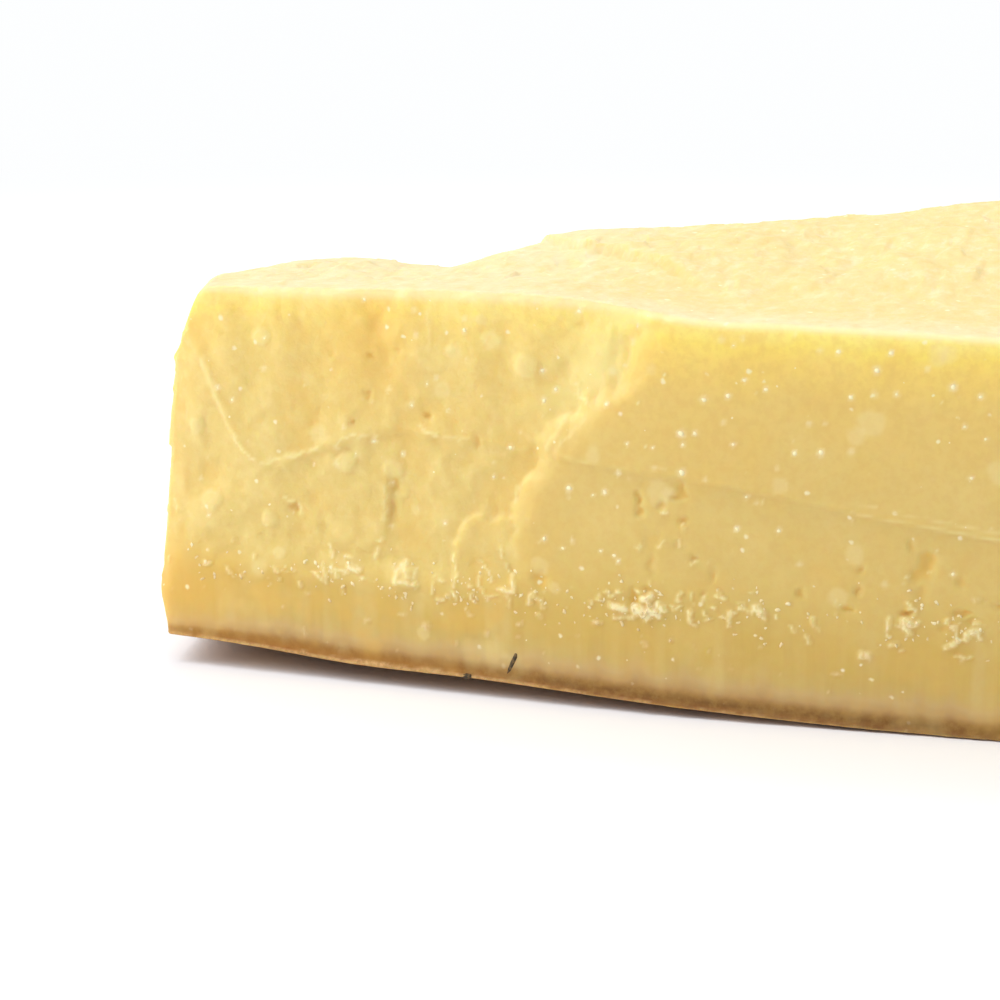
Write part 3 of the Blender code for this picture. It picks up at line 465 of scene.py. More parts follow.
def front_relief(x, z):
    """How far the front face stands out (+) or lies back (-): slice, tear, crest and crumbs."""
    above_firm = smoothstep(z, FIRM_PASTE - 0.5, FIRM_PASTE + 4.5)
    torn = torn_at(x, z)
    deeper = (0.5 + 0.5 * smoothstep(x, 0.0, 60.0)) * (0.7 + 0.3 * smoothstep(z, 30.0, 60.0))
    relief = -TEAR_DEPTH * torn * above_firm * deeper
    # the torn face: flutes above the crest, and soft lumps all over
    over_crest = z - curve(CREST_LINE, x) - 0.5 * waves(x, z, 3.0, 23)
    flutes = np.cos(2 * np.pi * (x + 0.06 * z - FLUTE_START) / FLUTE_SPACING)
    flutes += 0.5 * waves(x, 0.12 * z, 3.4, 24)
    relief += FLUTE_DEPTH * flutes * torn * smoothstep(over_crest, 0.0, 9.0)
    relief += torn * above_firm * LUMP_HEIGHT * lumps_at(x, z)
    crest = 0.6 * np.exp(-((over_crest / CREST_WIDTH) ** 2)) + 0.5 * np.tanh(over_crest)
    relief += torn * above_firm * CREST_HEIGHT * crest
    turned = np.maximum(curve(CREASE_LINE, z) - x, 0.0)
    relief -= torn * CREASE_TURN * turned * smoothstep(z, FIRM_PASTE - 6.0, FIRM_PASTE + 8.0)
    relief += torn * GRAIN_HEIGHT * grains_at(x, z)
    # the step between the two strokes of the knife, its scores, and its own drift
    over_stroke = z - curve(STROKE_LINE, x)
    relief += (1 - torn) * STROKE_STEP * smoothstep(over_stroke, -0.7, 0.2)
    relief += (1 - torn) * 0.06 * waves(0.25 * x + 0.1 * z, z, 4.0, 36)
    relief += ridges_at(x, z, *SCORE_LINES)
    # a loose flake that stands on the firm paste, and a small cliff
    left_of = np.maximum(FLAKE_X - x, 0.0)
    arch = FLAKE_TOP - 0.22 * left_of**2 + 0.8 * waves(x, z, 2.0, 27)
    flake = smoothstep(arch - z, -0.6, 0.8) * smoothstep(FLAKE_HALF_WIDTH - left_of, -0.5, 1.2)
    relief += FLAKE_HEIGHT * flake * above_firm * torn
    cliff = smoothstep(x, SCARP_X - 0.4, SCARP_X + 0.5) * bump(x, SCARP_X, 5.0)
    relief -= SCARP_DEPTH * cliff * bump(z, SCARP_Z, SCARP_HALF_HEIGHT)
    relief -= pits_at(x, z)
    relief += ridges_at(x, z, *TORN_LINES)
    relief += ridges_at(x, z, *SHRED_LINES) + SCRAP_HEIGHT * scraps_at(x, z)
    return relief


def broken_relief(a, b, seed, strength):
    """A face that was broken, not cut: wide hollows, rocky curd grains and small lumps."""
    hollows = 1.5 * waves(a, b, 34.0, seed) + 0.6 * waves(a, b, 15.0, seed + 5)
    grains = 0.9 * facets(a, b, 7.5, seed + 10) + 0.45 * facets(a, b, 3.6, seed + 20)
    return strength * (hollows + grains)


def back_relief(x, z):
    """The back broke away in shallow shells; near the rind it came off clean."""
    clean = smoothstep(z, 4.0, FIRM_PASTE + 4.0)
    flutes = 0.5 * np.sin(2 * np.pi * (x + 0.15 * z) / 17.0)
    return clean * (broken_relief(x, z, 41, 0.85) + flutes)


def narrow_relief(y, z):
    """The narrow end broke too, and has worn round. A scrap stands out of it near the slice."""
    scrap = 0.7 * bump(z, 53.0, 1.0) * bump(y, 2.0, 5.0)
    return smoothstep(z, 3.0, 14.0) * broken_relief(y, z, 81, 0.4) + scrap


def wide_relief(y, z):
    """The wide end was sliced in one stroke, and shows the knife's slow drift."""
    return 0.5 * waves(y, 0.2 * z, 30.0, 121) - 0.2 * smoothstep(z - 0.2 * y, 18.0, 19.0)


def top_relief(x, y):
    """The split top: smooth just behind the sliced edge, then rocky."""
    smooth_strip = 4.0 + 0.1 * x
    past_strip = y - front_at(x) - smooth_strip + 3.0 * waves(x, y, 12.0, 61)
    rough = 0.15 + 0.85 * smoothstep(past_strip, 0.0, 12.0)
    deep_y = 0.55 * y
    grains = 0.4 * facets(x, deep_y, 7.0, 63) + 0.3 * facets(x, deep_y, 3.3, 71)
    grains += 0.35 * waves(x, y, 5.0, 74) + 0.15 * waves(x, y, 2.4, 75)
    grains *= 0.25 + 0.75 * smoothstep(x, -4.0, 16.0)
    grains *= 1 - 0.5 * smoothstep(y - back_at(x), -18.0, -3.0)
    return rough * (0.5 * waves(x, y, 15.0, 62) + grains)


def lines_across(length, step, edge):
    """Grid lines from 0 to length: close together within the rounded edges, even between."""
    near = edge * np.array([0.0, 0.3, 0.65, 1.05])
    middle = np.linspace(1.5 * edge, length - 1.5 * edge, round((length - 3 * edge) / step) + 1)
    return np.concatenate([near, middle, length - near[::-1]])


def block_grid():
    """Points of a plain block as a grid of rings: a ring goes up the front, back over the top,
    down the back and home underneath. The first and last rings shrink to the ends' centres."""
    up = lines_across(HEIGHT, STEP_FRONT, EDGE_RADIUS)
    crumbly = np.arange(CRUMBLY_FROM, CRUMBLY_TO, STEP_CRUMBS)
    up = np.concatenate([up[up < CRUMBLY_FROM - 0.1], crumbly, up[up > CRUMBLY_TO]])
    over = lines_across(MEAN_DEPTH, STEP_TOP, EDGE_RADIUS)
    down = lines_across(HEIGHT, STEP_BACK, EDGE_RADIUS)[::-1]
    under = lines_across(MEAN_DEPTH, STEP_UNDER, EDGE_RADIUS)[::-1]
    y = np.concatenate([0 * up, over[1:], 0 * down[1:] + MEAN_DEPTH, under[1:-1]])
    z = np.concatenate([up, 0 * over[1:] + HEIGHT, down[1:], 0 * under[1:-1]])
    along = lines_across(LENGTH, STEP_ALONG, EDGE_RADIUS)
    beyond = np.arange(DENSE_LENGTH + STEP_BEYOND, LENGTH - 2 * EDGE_RADIUS, STEP_BEYOND)
    stations = np.concatenate([along[along <= DENSE_LENGTH], beyond, along[-6:]])
    inwards = lines_across(HEIGHT, 2 * STEP_TOP, EDGE_RADIUS)
    inwards = 2 * inwards[(inwards > 0) & (inwards < HEIGHT / 2 - STEP_TOP)] / HEIGHT
    share = np.concatenate([1 - inwards[::-1], 0 * stations + 1, 1 - inwards])
    x = np.concatenate([0 * inwards, stations, 0 * inwards + LENGTH])
    middle_y, middle_z = MEAN_DEPTH / 2, HEIGHT / 2
    rings = np.empty((len(x), len(y), 3))
    rings[:, :, 0] = x[:, None]
    rings[:, :, 1] = middle_y + share[:, None] * (y - middle_y)
    rings[:, :, 2] = middle_z + share[:, None] * (z - middle_z)
    poles = np.array([[0.0, middle_y, middle_z], [LENGTH, middle_y, middle_z]])
    return rings, poles


def unit(vectors):
    """The same directions with a length of 1."""
    return vectors / np.linalg.norm(vectors, axis=-1, keepdims=True)


def shaped(points):
    """The finished surface from points of the plain block, with what the paste looks like there.

    Each point is first drawn in towards the block's core, a block smaller by the edge radius,
    and put back at that radius from it, which rounds the edges and gives the way out. The block
    is then widened and leant into the wedge, and each face gets its relief along the way out."""
    size = np.array([LENGTH, MEAN_DEPTH, HEIGHT])
    across, up = points[..., 0], points[..., 2]
    worn = (1 - smoothstep(across, 2.0, WORN_REACH)) * smoothstep(up, 3.0, 14.0)
    worn *= 1 - 0.9 * smoothstep(up, HEIGHT - 12.0, HEIGHT - 2.0)
    radius = EDGE_RADIUS + (NARROW_END_RADIUS - EDGE_RADIUS) * worn
    radius += (RIND_EDGE_RADIUS - EDGE_RADIUS) * (1 - smoothstep(up, 0.5, 5.0))
    torn_top = smoothstep(up, HEIGHT - 8.0, HEIGHT - 3.0) * (1 - smoothstep(across, *TORN_TOP_END))
    torn_top *= smoothstep(across, 3.0, WORN_REACH)
    radius += (TORN_TOP_RADIUS - EDGE_RADIUS) * torn_top
    radius = radius[..., None]
    core = np.clip(points, radius, size - radius)
    out = unit(points - core)
    x, y, z = np.moveaxis(core + radius * out, -1, 0)

    share_up, share_back = z / HEIGHT, y / MEAN_DEPTH
    x = x + narrow_end_at(z) * (1 - smoothstep(x, 0.0, LEAN_REACH)) * (1 - 0.7 * share_back)
    x = x - END_SKEW * share_back * (back_at(x) - front_at(x))
    y = front_at(x) + share_back * (back_at(x) - front_at(x))
    low, high = rind_at(x, y), top_at(x, y)
    z = low + (high - low) * share_up

    out_x, out_y, out_z = np.moveaxis(out, -1, 0)
    facing, upward, wideward = -np.minimum(out_y, 0), np.maximum(out_z, 0), np.maximum(out_x, 0)
    lip_height = LIP_HEIGHT + (LIP_THICKEST - LIP_HEIGHT) * bump(x, LIP_THICKEST_X, 24.0)
    lip_height *= 1 + 0.3 * waves(x, y, 3.1, 57) + 0.25 * waves(x, y, 1.3, 58)
    on_lip = 1 - smoothstep(z - low, 0.7 * lip_height, 1.2 * lip_height)
    lip = LIP_OUT * on_lip * (0.7 + 0.4 * waves(x, y, 2.3, 37) + 0.5 * waves(x, y, 0.9, 42))
    front = facing * (front_relief(x, z) + lip)
    back = np.maximum(out_y, 0) * (back_relief(x, z) + lip)
    narrow = -np.minimum(out_x, 0) * (narrow_relief(y, z) + lip)
    wide = wideward * wide_relief(y, z)
    top = upward * top_relief(x, y)

    torn = torn_at(x, z)
    above = (z - low) * HEIGHT / (high - low)
    # towards the narrow end the rind's brown and white layers thin out
    thinned = (1 - smoothstep(x, 0.0, 26.0)) * (1 - smoothstep(above, 9.0, 16.0))
    thinned *= 0.2 + 1.6 * smoothstep(above, 1.0, 3.0)
    young_rind = (1 - smoothstep(x, *YOUNG_RIND_END)) * (0.45 + 0.55 * smoothstep(x, 2.0, 22.0))
    # the split top is palest on its hump and just behind the slice
    on_hump = 1 - smoothstep(x, *HUMP_END)
    by_slice = 1 - smoothstep(y - front_at(x), 3.0, 14.0)
    # between the slice and the tear the paste runs out in a bevel. Its colour is painted light and
    # shade: the bevel is painted paler where it faces up to the left and darker amber high up, and high
    # up a band left of the slice is painted paler to lift the shade of the torn face there
    on_bevel, high_up = facing * 4 * torn * (1 - torn), smoothstep(z, 48.0, 58.0)
    low_bevel = smoothstep(z, 20.0, 30.0) * (1 - high_up) * (0.7 + 0.6 * waves(x, z, 3.0, 63))
    painted_light_by_slice = torn**3 * bump(curve(SLICE_EDGE, z) - x, 9.0, 7.0) * smoothstep(z, 42.0, 56.0)
    ridges = ridges_at(x, z, *TORN_LINES) + ridges_at(x, z, *SCORE_LINES)
    curd = np.maximum(3.0 * ridges_at(x, z, *SHRED_LINES), 0.8 * scraps_at(x, z))
    sliced = facing * (1 - torn) + wideward
    looks = {
        "above_rind": above + thinned,
        "lip": on_lip * (0.65 + 0.35 * bump(x, LIP_THICKEST_X, 30.0)),
        "young": bump(above, 1.2, 1.15) * young_rind * (1 - on_lip),
        "grain": facing * grains_at(x, z),
        # pale ridges and scores: partly the paler torn curd, partly a painted highlight
        "ridge": facing * 4.0 * ridges,
        "curd": facing * curd,
        "cloud": facing * crystals_at(x, z),
        # lump heights, used to paint light on the lumps' tops and shade between them
        "lump": facing * torn * lumps_at(x, z),
        "split": upward**2,
        "worn_pale": upward**2 * np.maximum(on_hump, by_slice),
        # a painted highlight along the rounded edge between the front and the top
        "edge": (2 * facing * upward) ** 2,
        # painted light on the bevel, painted shade on its upper part, and a painted pale band by the
        # slice
        "bevel": on_bevel * low_bevel,
        "high_bevel": on_bevel * high_up,
        "thin": facing * painted_light_by_slice,
        "stain": facing * torn * stains_at(x, z),
        "torn": smoothstep(above, 12.0, 20.0) * (1 - np.clip(sliced, 0, 1)),
        # the pits' depth, used to paint shade in them
        "hollow": facing * pits_at(x, z),
        "rind": np.maximum(-out_z, 0) ** 2,
    }
    return np.stack([x - narrow + wide, y - front + back, z + top], axis=-1), looks


def centred(points):
    """Points of the slice's frame in millimetres, as metres in the row frame."""
    return (points - np.array([*CENTRE, TABLE_Z])) * MM


def screen(red, green, blue):
    """The linear colour of one that is given as it looks on a screen."""
    share = np.array([red, green, blue]) / 255
    linear = np.where(share > 0.04045, ((share + 0.055) / 1.055) ** 2.4, share / 12.92)
    return (*linear.tolist(), 1.0)


def fill(made, inputs):
    """Sets these inputs of a node: a value is set, and another node's output is linked."""
    for socket, value in inputs.items():
        if isinstance(value, bpy.types.NodeSocket):
            made.id_data.links.new(value, made.inputs[socket])
        else:
            made.inputs[socket].default_value = value


def node(tree, kind, inputs=(), **settings):
    """A new node of this kind in the tree, with its inputs and settings."""
    made = tree.nodes.new(kind)
    for name, value in settings.items():
        setattr(made, name, value)
    fill(made, dict(inputs))
    return made


def maths(operation, a, b):
    """Output a and a number or output b, put together in the tree that a comes from."""
    return node(a.id_data, "ShaderNodeMath", {0: a, 1: b}, operation=operation).outputs[0]


def times(a, b):
    """Output a times a number or output b."""
    return maths("MULTIPLY", a, b)


def between(value, low, high, at_low=0.0, at_high=1.0):
    """An S curve from at_low to at_high while value goes from low to high."""
    inputs = {"Value": value, "From Min": low, "From Max": high, "To Min": at_low, "To Max": at_high}
    kind = "ShaderNodeMapRange"
    return node(value.id_data, kind, inputs, interpolation_type="SMOOTHSTEP").outputs[0]


def mixed(share, a, b):
    """Colour a where share is 0, colour b where it is 1."""
    inputs = {0: share, 6: a, 7: b}
    return node(share.id_data, "ShaderNodeMix", inputs, data_type="RGBA").outputs[2]


def tinted(colour, tints):
    """The colour under tints, in order: each has a mask, a strength and its look on a screen."""
    for mask, strength, tint in tints:
        colour = mixed(times(mask, strength), colour, screen(*tint))
    return colour


def in_mm(tree, stretch=(1.0, 1.0, 1.0)):
    """The object's own coordinates in millimetres, divided by stretch."""
    coordinates = node(tree, "ShaderNodeTexCoord").outputs["Object"]
    scale = tuple(1 / MM / s for s in stretch)
    return node(tree, "ShaderNodeMapping", {"Vector": coordinates, "Scale": scale}).outputs[0]


def noise(place, size, detail=2.0, roughness=0.5):
    """Soft noise from 0 to 1 whose lumps are about size millimetres wide."""
    inputs = {"Vector": place, "Scale": 1 / size, "Detail": detail, "Roughness": roughness}
    return node(place.id_data, "ShaderNodeTexNoise", inputs).outputs[0]


def attribute(tree, name):
    """One of the looks that a piece's mesh carries at its points."""
    return node(tree, "ShaderNodeAttribute", attribute_name=name).outputs["Fac"]


def ramp(value, stops):
    """A colour for each value between stops, which are (value, colour)."""
    made = node(value.id_data, "ShaderNodeValToRGB", {0: value})
    elements = made.color_ramp.elements
    elements[0].position, elements[0].color = stops[0]
    elements[1].position, elements[1].color = stops[-1]
    for position, colour in stops[1:-1]:
        elements.new(position).color = colour
    return made.outputs[0]


def spots(place, spacing, smallest, largest, share, soft):
    """Round spots at random: 1 inside a ball round a random point of each cell, 0 outside.

    A cell's radius is drawn between smallest and largest; only this share of cells has one."""
    inputs = {"Vector": place, "Scale": 1 / spacing, "Randomness": 1.0}
    cells = node(place.id_data, "ShaderNodeTexVoronoi", inputs).outputs
    drawn = node(place.id_data, "ShaderNodeSeparateColor", {0: cells["Color"]}).outputs
    radius = between(drawn[0], 0.0, 1.0, smallest / spacing, largest / spacing)
    ball = between(maths("DIVIDE", cells["Distance"], radius), 1.0, 1.0 - soft)
    return times(ball, maths("LESS_THAN", drawn[1], share))


# From the rind to the middle of the wheel: height above the rind in mm, and how the paste looks. The
# bright yellow from about 58 mm up to the top edge is painted light: the glow of light that comes into
# the paste through the top
LAYERS = (
    (0.0, 140, 94, 44), (0.7, 136, 91, 34), (1.6, 126, 84, 22), (2.4, 154, 112, 52),
    (3.4, 190, 153, 98), (4.8, 206, 176, 118), (6.5, 208, 180, 104), (9.0, 212, 181, 95),
    (13.0, 216, 184, 97), (17.0, 220, 191, 108), (22.0, 224, 196, 116), (36.0, 226, 198, 119),
    (52.0, 234, 203, 117), (58.0, 246, 216, 116), (60.5, 253, 230, 116), (63.0, 254, 237, 142),
    (80.0, 254, 236, 160),
)
LAYER_TOP = LAYERS[-1][0]


def paste_colour_group():
    """The colour of the paste at a height above the rind, with streaks near the rind and mottles,
    and masks of its crystals and of its paler curd grains."""
    group = bpy.data.node_groups.new("paste_colour", "ShaderNodeTree")
    for name, way, kind in (
        ("Above Rind", "INPUT", "NodeSocketFloat"),
        ("Color", "OUTPUT", "NodeSocketColor"),
        ("Crystals", "OUTPUT", "NodeSocketFloat"),
        ("Grains", "OUTPUT", "NodeSocketFloat"),
    ):
        group.interface.new_socket(name, in_out=way, socket_type=kind)
    above = node(group, "NodeGroupInput").outputs["Above Rind"]
    place = in_mm(group)
    inputs = {"Vector": place, "Scale": 0.8, "Detail": 2.0}
    shift = node(group, "ShaderNodeTexNoise", inputs).outputs["Color"]
    inputs = {0: shift, 1: (0.8, 0.8, 0.8), 2: place}
    uneven = node(group, "ShaderNodeVectorMath", inputs, operation="MULTIPLY_ADD").outputs[0]

    # the layers wander in wide upright streaks, hardly at the rind and less again near the top
    upright = in_mm(group, (1.0, 1.0, 9.0))
    streak, wide_streak = noise(upright, 1.9, 3.0, 0.55), noise(upright, 4.2, 1.0, 0.5)
    wander = times(maths("SUBTRACT", wide_streak, 0.5), 7.0)
    wander = times(wander, between(above, 1.5, 9.0, 0.04, 1.0))
    wander = times(wander, between(above, 44.0, 56.0, 1.0, 0.3))
    height = maths("MAXIMUM", maths("ADD", above, wander), 0.0)
    stops = [(layer / LAYER_TOP, screen(*colour)) for layer, *colour in LAYERS]
    layered = ramp(maths("DIVIDE", height, LAYER_TOP), stops)

    near_rind = times(between(above, 20.0, 8.0), between(above, 2.0, 6.0))
    patches, fine = noise(place, 11.0, 3.0, 0.55), noise(place, 1.6, 3.0, 0.6)
    colour = tinted(layered, (
        (times(near_rind, between(streak, 0.42, 0.75)), 0.3, (198, 156, 84)),
        (times(near_rind, between(wide_streak, 0.5, 0.7)), 0.4, (222, 202, 138)),
        (between(patches, 0.45, 0.75), 0.3, (232, 192, 102)),
        (between(patches, 0.5, 0.25), 0.25, (238, 213, 138)),
        (between(fine, 0.35, 0.7), 0.22, (216, 172, 92)),
    ))
    node(group, "NodeGroupOutput", {
        "Color": colour,
        "Crystals": spots(uneven, 3.4, 0.2, 0.62, 0.85, 0.8),
        "Grains": spots(uneven, 13.0, 1.3, 2.3, 0.7, 0.5),
    })
    return group


PASTE_COLOUR = paste_colour_group()


def new_material(name):
    """A new material, its tree of nodes and its surface shader."""
    made = bpy.data.materials.new(name)
    made.use_nodes = True
    return made, made.node_tree, made.node_tree.nodes["Principled BSDF"]


def paste_material(look_names):
    """Waxy paste that light goes into, with the rind's brown underneath."""
    made, tree, surface = new_material("cheese_paste")
    look = {name: attribute(tree, name) for name in look_names}
    above, torn, split, rind = look["above_rind"], look["torn"], look["split"], look["rind"]
    paste = node(tree, "ShaderNodeGroup", node_tree=PASTE_COLOUR)
    fill(paste, {"Above Rind": above})
    place = in_mm(tree)
    lumps, flecks = noise(place, 2.4, 3.0, 0.6), noise(in_mm(tree, (1.0, 1 / 0.6, 1.0)), 2.6, 4.0, 0.6)

    colour = tinted(paste.outputs["Color"], (
        (torn, 0.35, (238, 214, 134)),
        (times(torn, between(lumps, 0.45, 0.7)), 0.2, (246, 225, 156)),
        (times(torn, between(lumps, 0.42, 0.25)), 0.15, (230, 184, 94)),
        # painted light and shade: the tops of the lumps are painted paler and the paste between them
        # more amber, the way light and shade look on the translucent paste
        (between(look["lump"], 0.0, 0.8), 0.22, (250, 232, 160)),
        (between(look["lump"], 0.0, -0.8), 0.25, (238, 190, 88)),
        # painted shade: the pits of the front are painted a darker amber
        (between(look["hollow"], 0.08, 0.45), 0.5, (232, 188, 84)),
        (look["grain"], 0.3, (244, 228, 166)),
    ))
    shreds = between(noise(in_mm(tree, (1.0, 1.0, 2.0)), 0.7, 2.0, 0.55), 0.35, 0.6, 0.35, 0.85)
    curd = mixed(between(above, 9.0, 17.0), screen(232, 204, 154), screen(246, 230, 176))
    colour = mixed(times(look["curd"], shreds), colour, curd)
    speckles = between(noise(place, 0.9, 3.0, 0.6), 0.4, 0.6, 0.45, 1.0)
    crystals = times(paste.outputs["Crystals"], between(above, 3.0, 8.0, 0.2, 0.75))
    colour = tinted(colour, (
        # the ridges and knife scores are painted pale: the paler curd of the torn ridges, and a painted
        # highlight along the knife scores
        (look["ridge"], 0.6, (250, 236, 176)),
        (look["young"], 0.65, (178, 120, 40)),
        (look["lip"], speckles, (216, 176, 120)),
        (split, 0.75, (225, 200, 137)),
        (look["worn_pale"], 0.7, (229, 216, 168)),
        (times(split, between(flecks, 0.48, 0.75)), 0.4, (246, 234, 196)),
        (times(split, between(flecks, 0.5, 0.3)), 0.4, (226, 194, 112)),
        # painted light on the bevel, painted shade high on it, and a painted pale band left of the
        # slice
        (look["bevel"], 0.3, (246, 230, 156)),
        (look["high_bevel"], 0.4, (230, 196, 108)),
        (look["thin"], 0.45, (255, 243, 168)),
        (look["stain"], 0.5, (238, 188, 84)),
        # painted highlight along the rounded edge between the front and the top
        (look["edge"], 0.4, (255, 243, 194)),
        (paste.outputs["Grains"], 0.3, (244, 228, 168)),
        (crystals, 1.0, (252, 242, 204)),
        (look["cloud"], 0.7, (252, 242, 200)),
    ))
    crust_colours = ((0.3, (136, 88, 42)), (0.5, (172, 122, 66)), (0.7, (198, 152, 92)))
    stops = [(value, screen(*brown)) for value, brown in crust_colours]
    crust = ramp(noise(place, 8.0, 6.0, 0.65), stops)

    coarse = noise(place, 1.7, 2.0, 0.5)
    height = maths("ADD", times(noise(place, 0.55, 3.0, 0.6), 0.5), coarse)
    rough_share = maths("MAXIMUM", torn, maths("MAXIMUM", split, rind))
    height = times(height, between(rough_share, 0.0, 1.0, 0.25, 1.0))
    relief = node(tree, "ShaderNodeBump", {"Strength": 0.5, "Distance": 0.25 * MM, "Height": height})
    fill(surface, {
        "Base Color": mixed(rind, colour, crust),
        "Roughness": between(coarse, 0.3, 0.7, 0.42, 0.6),
        "Normal": relief.outputs[0],
        "Subsurface Weight": 0.55,
        "Subsurface Radius": (1.0, 0.55, 0.18),
        "Subsurface Scale": 4.5 * MM,
        "IOR": 1.42,
    })
    return made


def placed(name, data):
    """A new object of the scene for this mesh, light or camera."""
    made = bpy.data.objects.new(name, data)
    bpy.context.scene.collection.objects.link(made)
    return made


def new_piece(name, points, faces, material, looks=()):
    """A mesh object in the row frame from points in the slice's frame. It rides on the chunk."""
    data = bpy.data.meshes.new(name)
    data.from_pydata(centred(points).tolist(), [], faces)
    for look, values in dict(looks).items():
        layer = data.attributes.new(look, "FLOAT", "POINT")
        layer.data.foreach_set("value", values.astype(np.float32))
    data.polygons.foreach_set("use_smooth", [True] * len(data.polygons))
    data.materials.append(material)
    data.update()
    piece = placed(name, data)
    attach(piece, "root")
    return piece


def wrapped_faces(ring_count, around):
    """Quads between closed rings of points, facing out, and a fan of triangles at each end."""
    rows = np.arange(ring_count - 1)[:, None] * around
    i = np.arange(around)[None, :]
    j = (i + 1) % around
    quads = np.stack([rows + i, rows + around + i, rows + around + j, rows + j], axis=-1)
    first, last = ring_count * around, ring_count * around + 1
    i, j = i[0], j[0]
    base = (ring_count - 1) * around
    start = np.stack([0 * i + first, i, j], axis=-1)
    end = np.stack([0 * i + last, base + j, base + i], axis=-1)
    return quads.reshape(-1, 4).tolist() + start.tolist() + end.tolist()


rings, poles = block_grid()
ring_points, ring_looks = shaped(rings)
pole_points, pole_looks = shaped(poles)
looks = {name: np.concatenate([ring_looks[name].ravel(), pole_looks[name]]) for name in ring_looks}
chunk_points = np.concatenate([ring_points.reshape(-1, 3), pole_points])
chunk_faces = wrapped_faces(*rings.shape[:2])
chunk = new_piece("cheese", chunk_points, chunk_faces, paste_material(looks), looks)
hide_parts("sbrinz_chunk")

# --- The torn curd ---------------------------------------------------------------------------
# Where the tear met the firm paste, loose crumbs of curd cling to the slice. They are drier and
# paler than the paste, most of them a fraction of a millimetre wide.

CRUMB_COUNT, CRUMB_SPREAD, CRUMB_CLUMP_WIDTH = 320, 2.4, 3.4


def front_block_point(x, z):
    """The point of the plain block's front that ends up at x and z, by a few rounds of trying."""
    low, high = rind_at(x, front_at(x)), top_at(x, front_at(x))
    up = HEIGHT * (z - low) / (high - low)
    across = x
    for _ in range(5):
        across = x - narrow_end_at(up) * (1 - smoothstep(across, 0.0, LEAN_REACH))
    return np.stack([across, 0 * x, up], axis=-1)


def skin(x, z):
    """The point of the front at x and z, and there the unit directions along, up and out."""
    block, reach = front_block_point(x, z), 0.35
    step_along, step_up = np.array([reach, 0.0, 0.0]), np.array([0.0, 0.0, reach])
    along = unit(shaped(block + step_along)[0] - shaped(block - step_along)[0])
    out = unit(np.cross(along, shaped(block + step_up)[0] - shaped(block - step_up)[0]))
    return shaped(block)[0], along, np.cross(out, along), out


def lumps_on(x, z, half_length, half_width, height, angle, ragged, random):
    """Small rough lumps, sunk in the front: a ball of 8 columns and 4 rows, its points pushed in
    or out at random by ragged, stretched to its three sizes and turned by angle."""
    columns, rows, sunk = 8, 4, 0.35
    here, along, up, out = skin(x, z)
    count = len(here)
    turn = np.linspace(0, 2 * np.pi, columns, endpoint=False)[None, :]
    tilt = np.linspace(0.5, rows - 0.5, rows)[:, None] * np.pi / rows
    around = [np.sin(tilt) * np.cos(turn), np.sin(tilt) * np.sin(turn), np.cos(tilt) + 0 * turn]
    ball = np.concatenate([np.stack(around, -1).reshape(-1, 3), [[0.0, 0.0, 1.0], [0.0, 0.0, -1.0]]])
    radius = 1 + ragged * (2 * random.random((count, len(ball))) - 1)
    local = ball[None] * radius[:, :, None] * np.stack([half_length, half_width, height], -1)[:, None]
    cos, sin = np.cos(angle)[:, None], np.sin(angle)[:, None]
    a = local[..., 0] * cos - local[..., 1] * sin
    b = local[..., 0] * sin + local[..., 1] * cos
    points = here[:, None] + a[..., None] * along[:, None] + b[..., None] * up[:, None]
    points = points + (local[..., 2:] - sunk * height[:, None, None]) * out[:, None]
    one = wrapped_faces(rows, columns)
    size = len(ball)
    faces = [[corner + size * k for corner in face] for k in range(count) for face in one]
    return points.reshape(-1, 3), faces


def curd_material():
    """The same paste, dried and paler, and a little pink near the rind."""
    made, tree, surface = new_material("torn_curd")
    above, place = attribute(tree, "above_rind"), in_mm(tree)
    paste = node(tree, "ShaderNodeGroup", node_tree=PASTE_COLOUR)
    fill(paste, {"Above Rind": above})
    pale = mixed(between(above, 9.0, 17.0), screen(242, 214, 164), screen(254, 240, 194))
    mottle = between(noise(place, 1.2), 0.35, 0.65, 0.4, 0.85)
    inputs = {"Strength": 0.5, "Distance": 0.1 * MM, "Height": noise(place, 0.3, 3.0)}
    fill(surface, {
        "Base Color": mixed(mottle, paste.outputs["Color"], pale),
        "Normal": node(tree, "ShaderNodeBump", inputs).outputs[0],
        "Roughness": 0.6,
    })
    return made


curd_random = np.random.default_rng(23)
crumb_x = curd_random.uniform(3.0, LENGTH - 3.0, 4 * CRUMB_COUNT)
crumb_z = FIRM_PASTE + 0.2 + CRUMB_SPREAD * curd_random.standard_normal(4 * CRUMB_COUNT)
likely = 0.25 + clumps_at(crumb_x, CRUMB_CLUMP_WIDTH)
kept = curd_random.random(4 * CRUMB_COUNT) < 0.35 * likely
crumb_x, crumb_z = crumb_x[kept][:CRUMB_COUNT], crumb_z[kept][:CRUMB_COUNT]
crumb_size = curd_random.uniform(0.12, 0.32, len(crumb_x))
crumb_points, crumb_faces = lumps_on(
    crumb_x,
    crumb_z,
    half_length=crumb_size * curd_random.uniform(1.0, 2.0, len(crumb_x)),
    half_width=crumb_size,
    height=0.3 * crumb_size,
    angle=np.pi / 2 + 0.9 * curd_random.standard_normal(len(crumb_x)),
    ragged=0.35,
    random=curd_random,
)
crumbs_above = crumb_points[:, 2] - rind_at(crumb_points[:, 0], crumb_points[:, 1])
new_piece("torn_curd", crumb_points, crumb_faces, curd_material(), {"above_rind": crumbs_above})

# --- The crystals ----------------------------------------------------------------------------
# White grains of crystal as large as coarse salt, grown in the paste. The knife and the tear laid
# the clearest ones of the front bare, and they stand out of it as shallow domes.

BARE_FROM = 0.6  # crystals that show less clearly than this stay under the surface


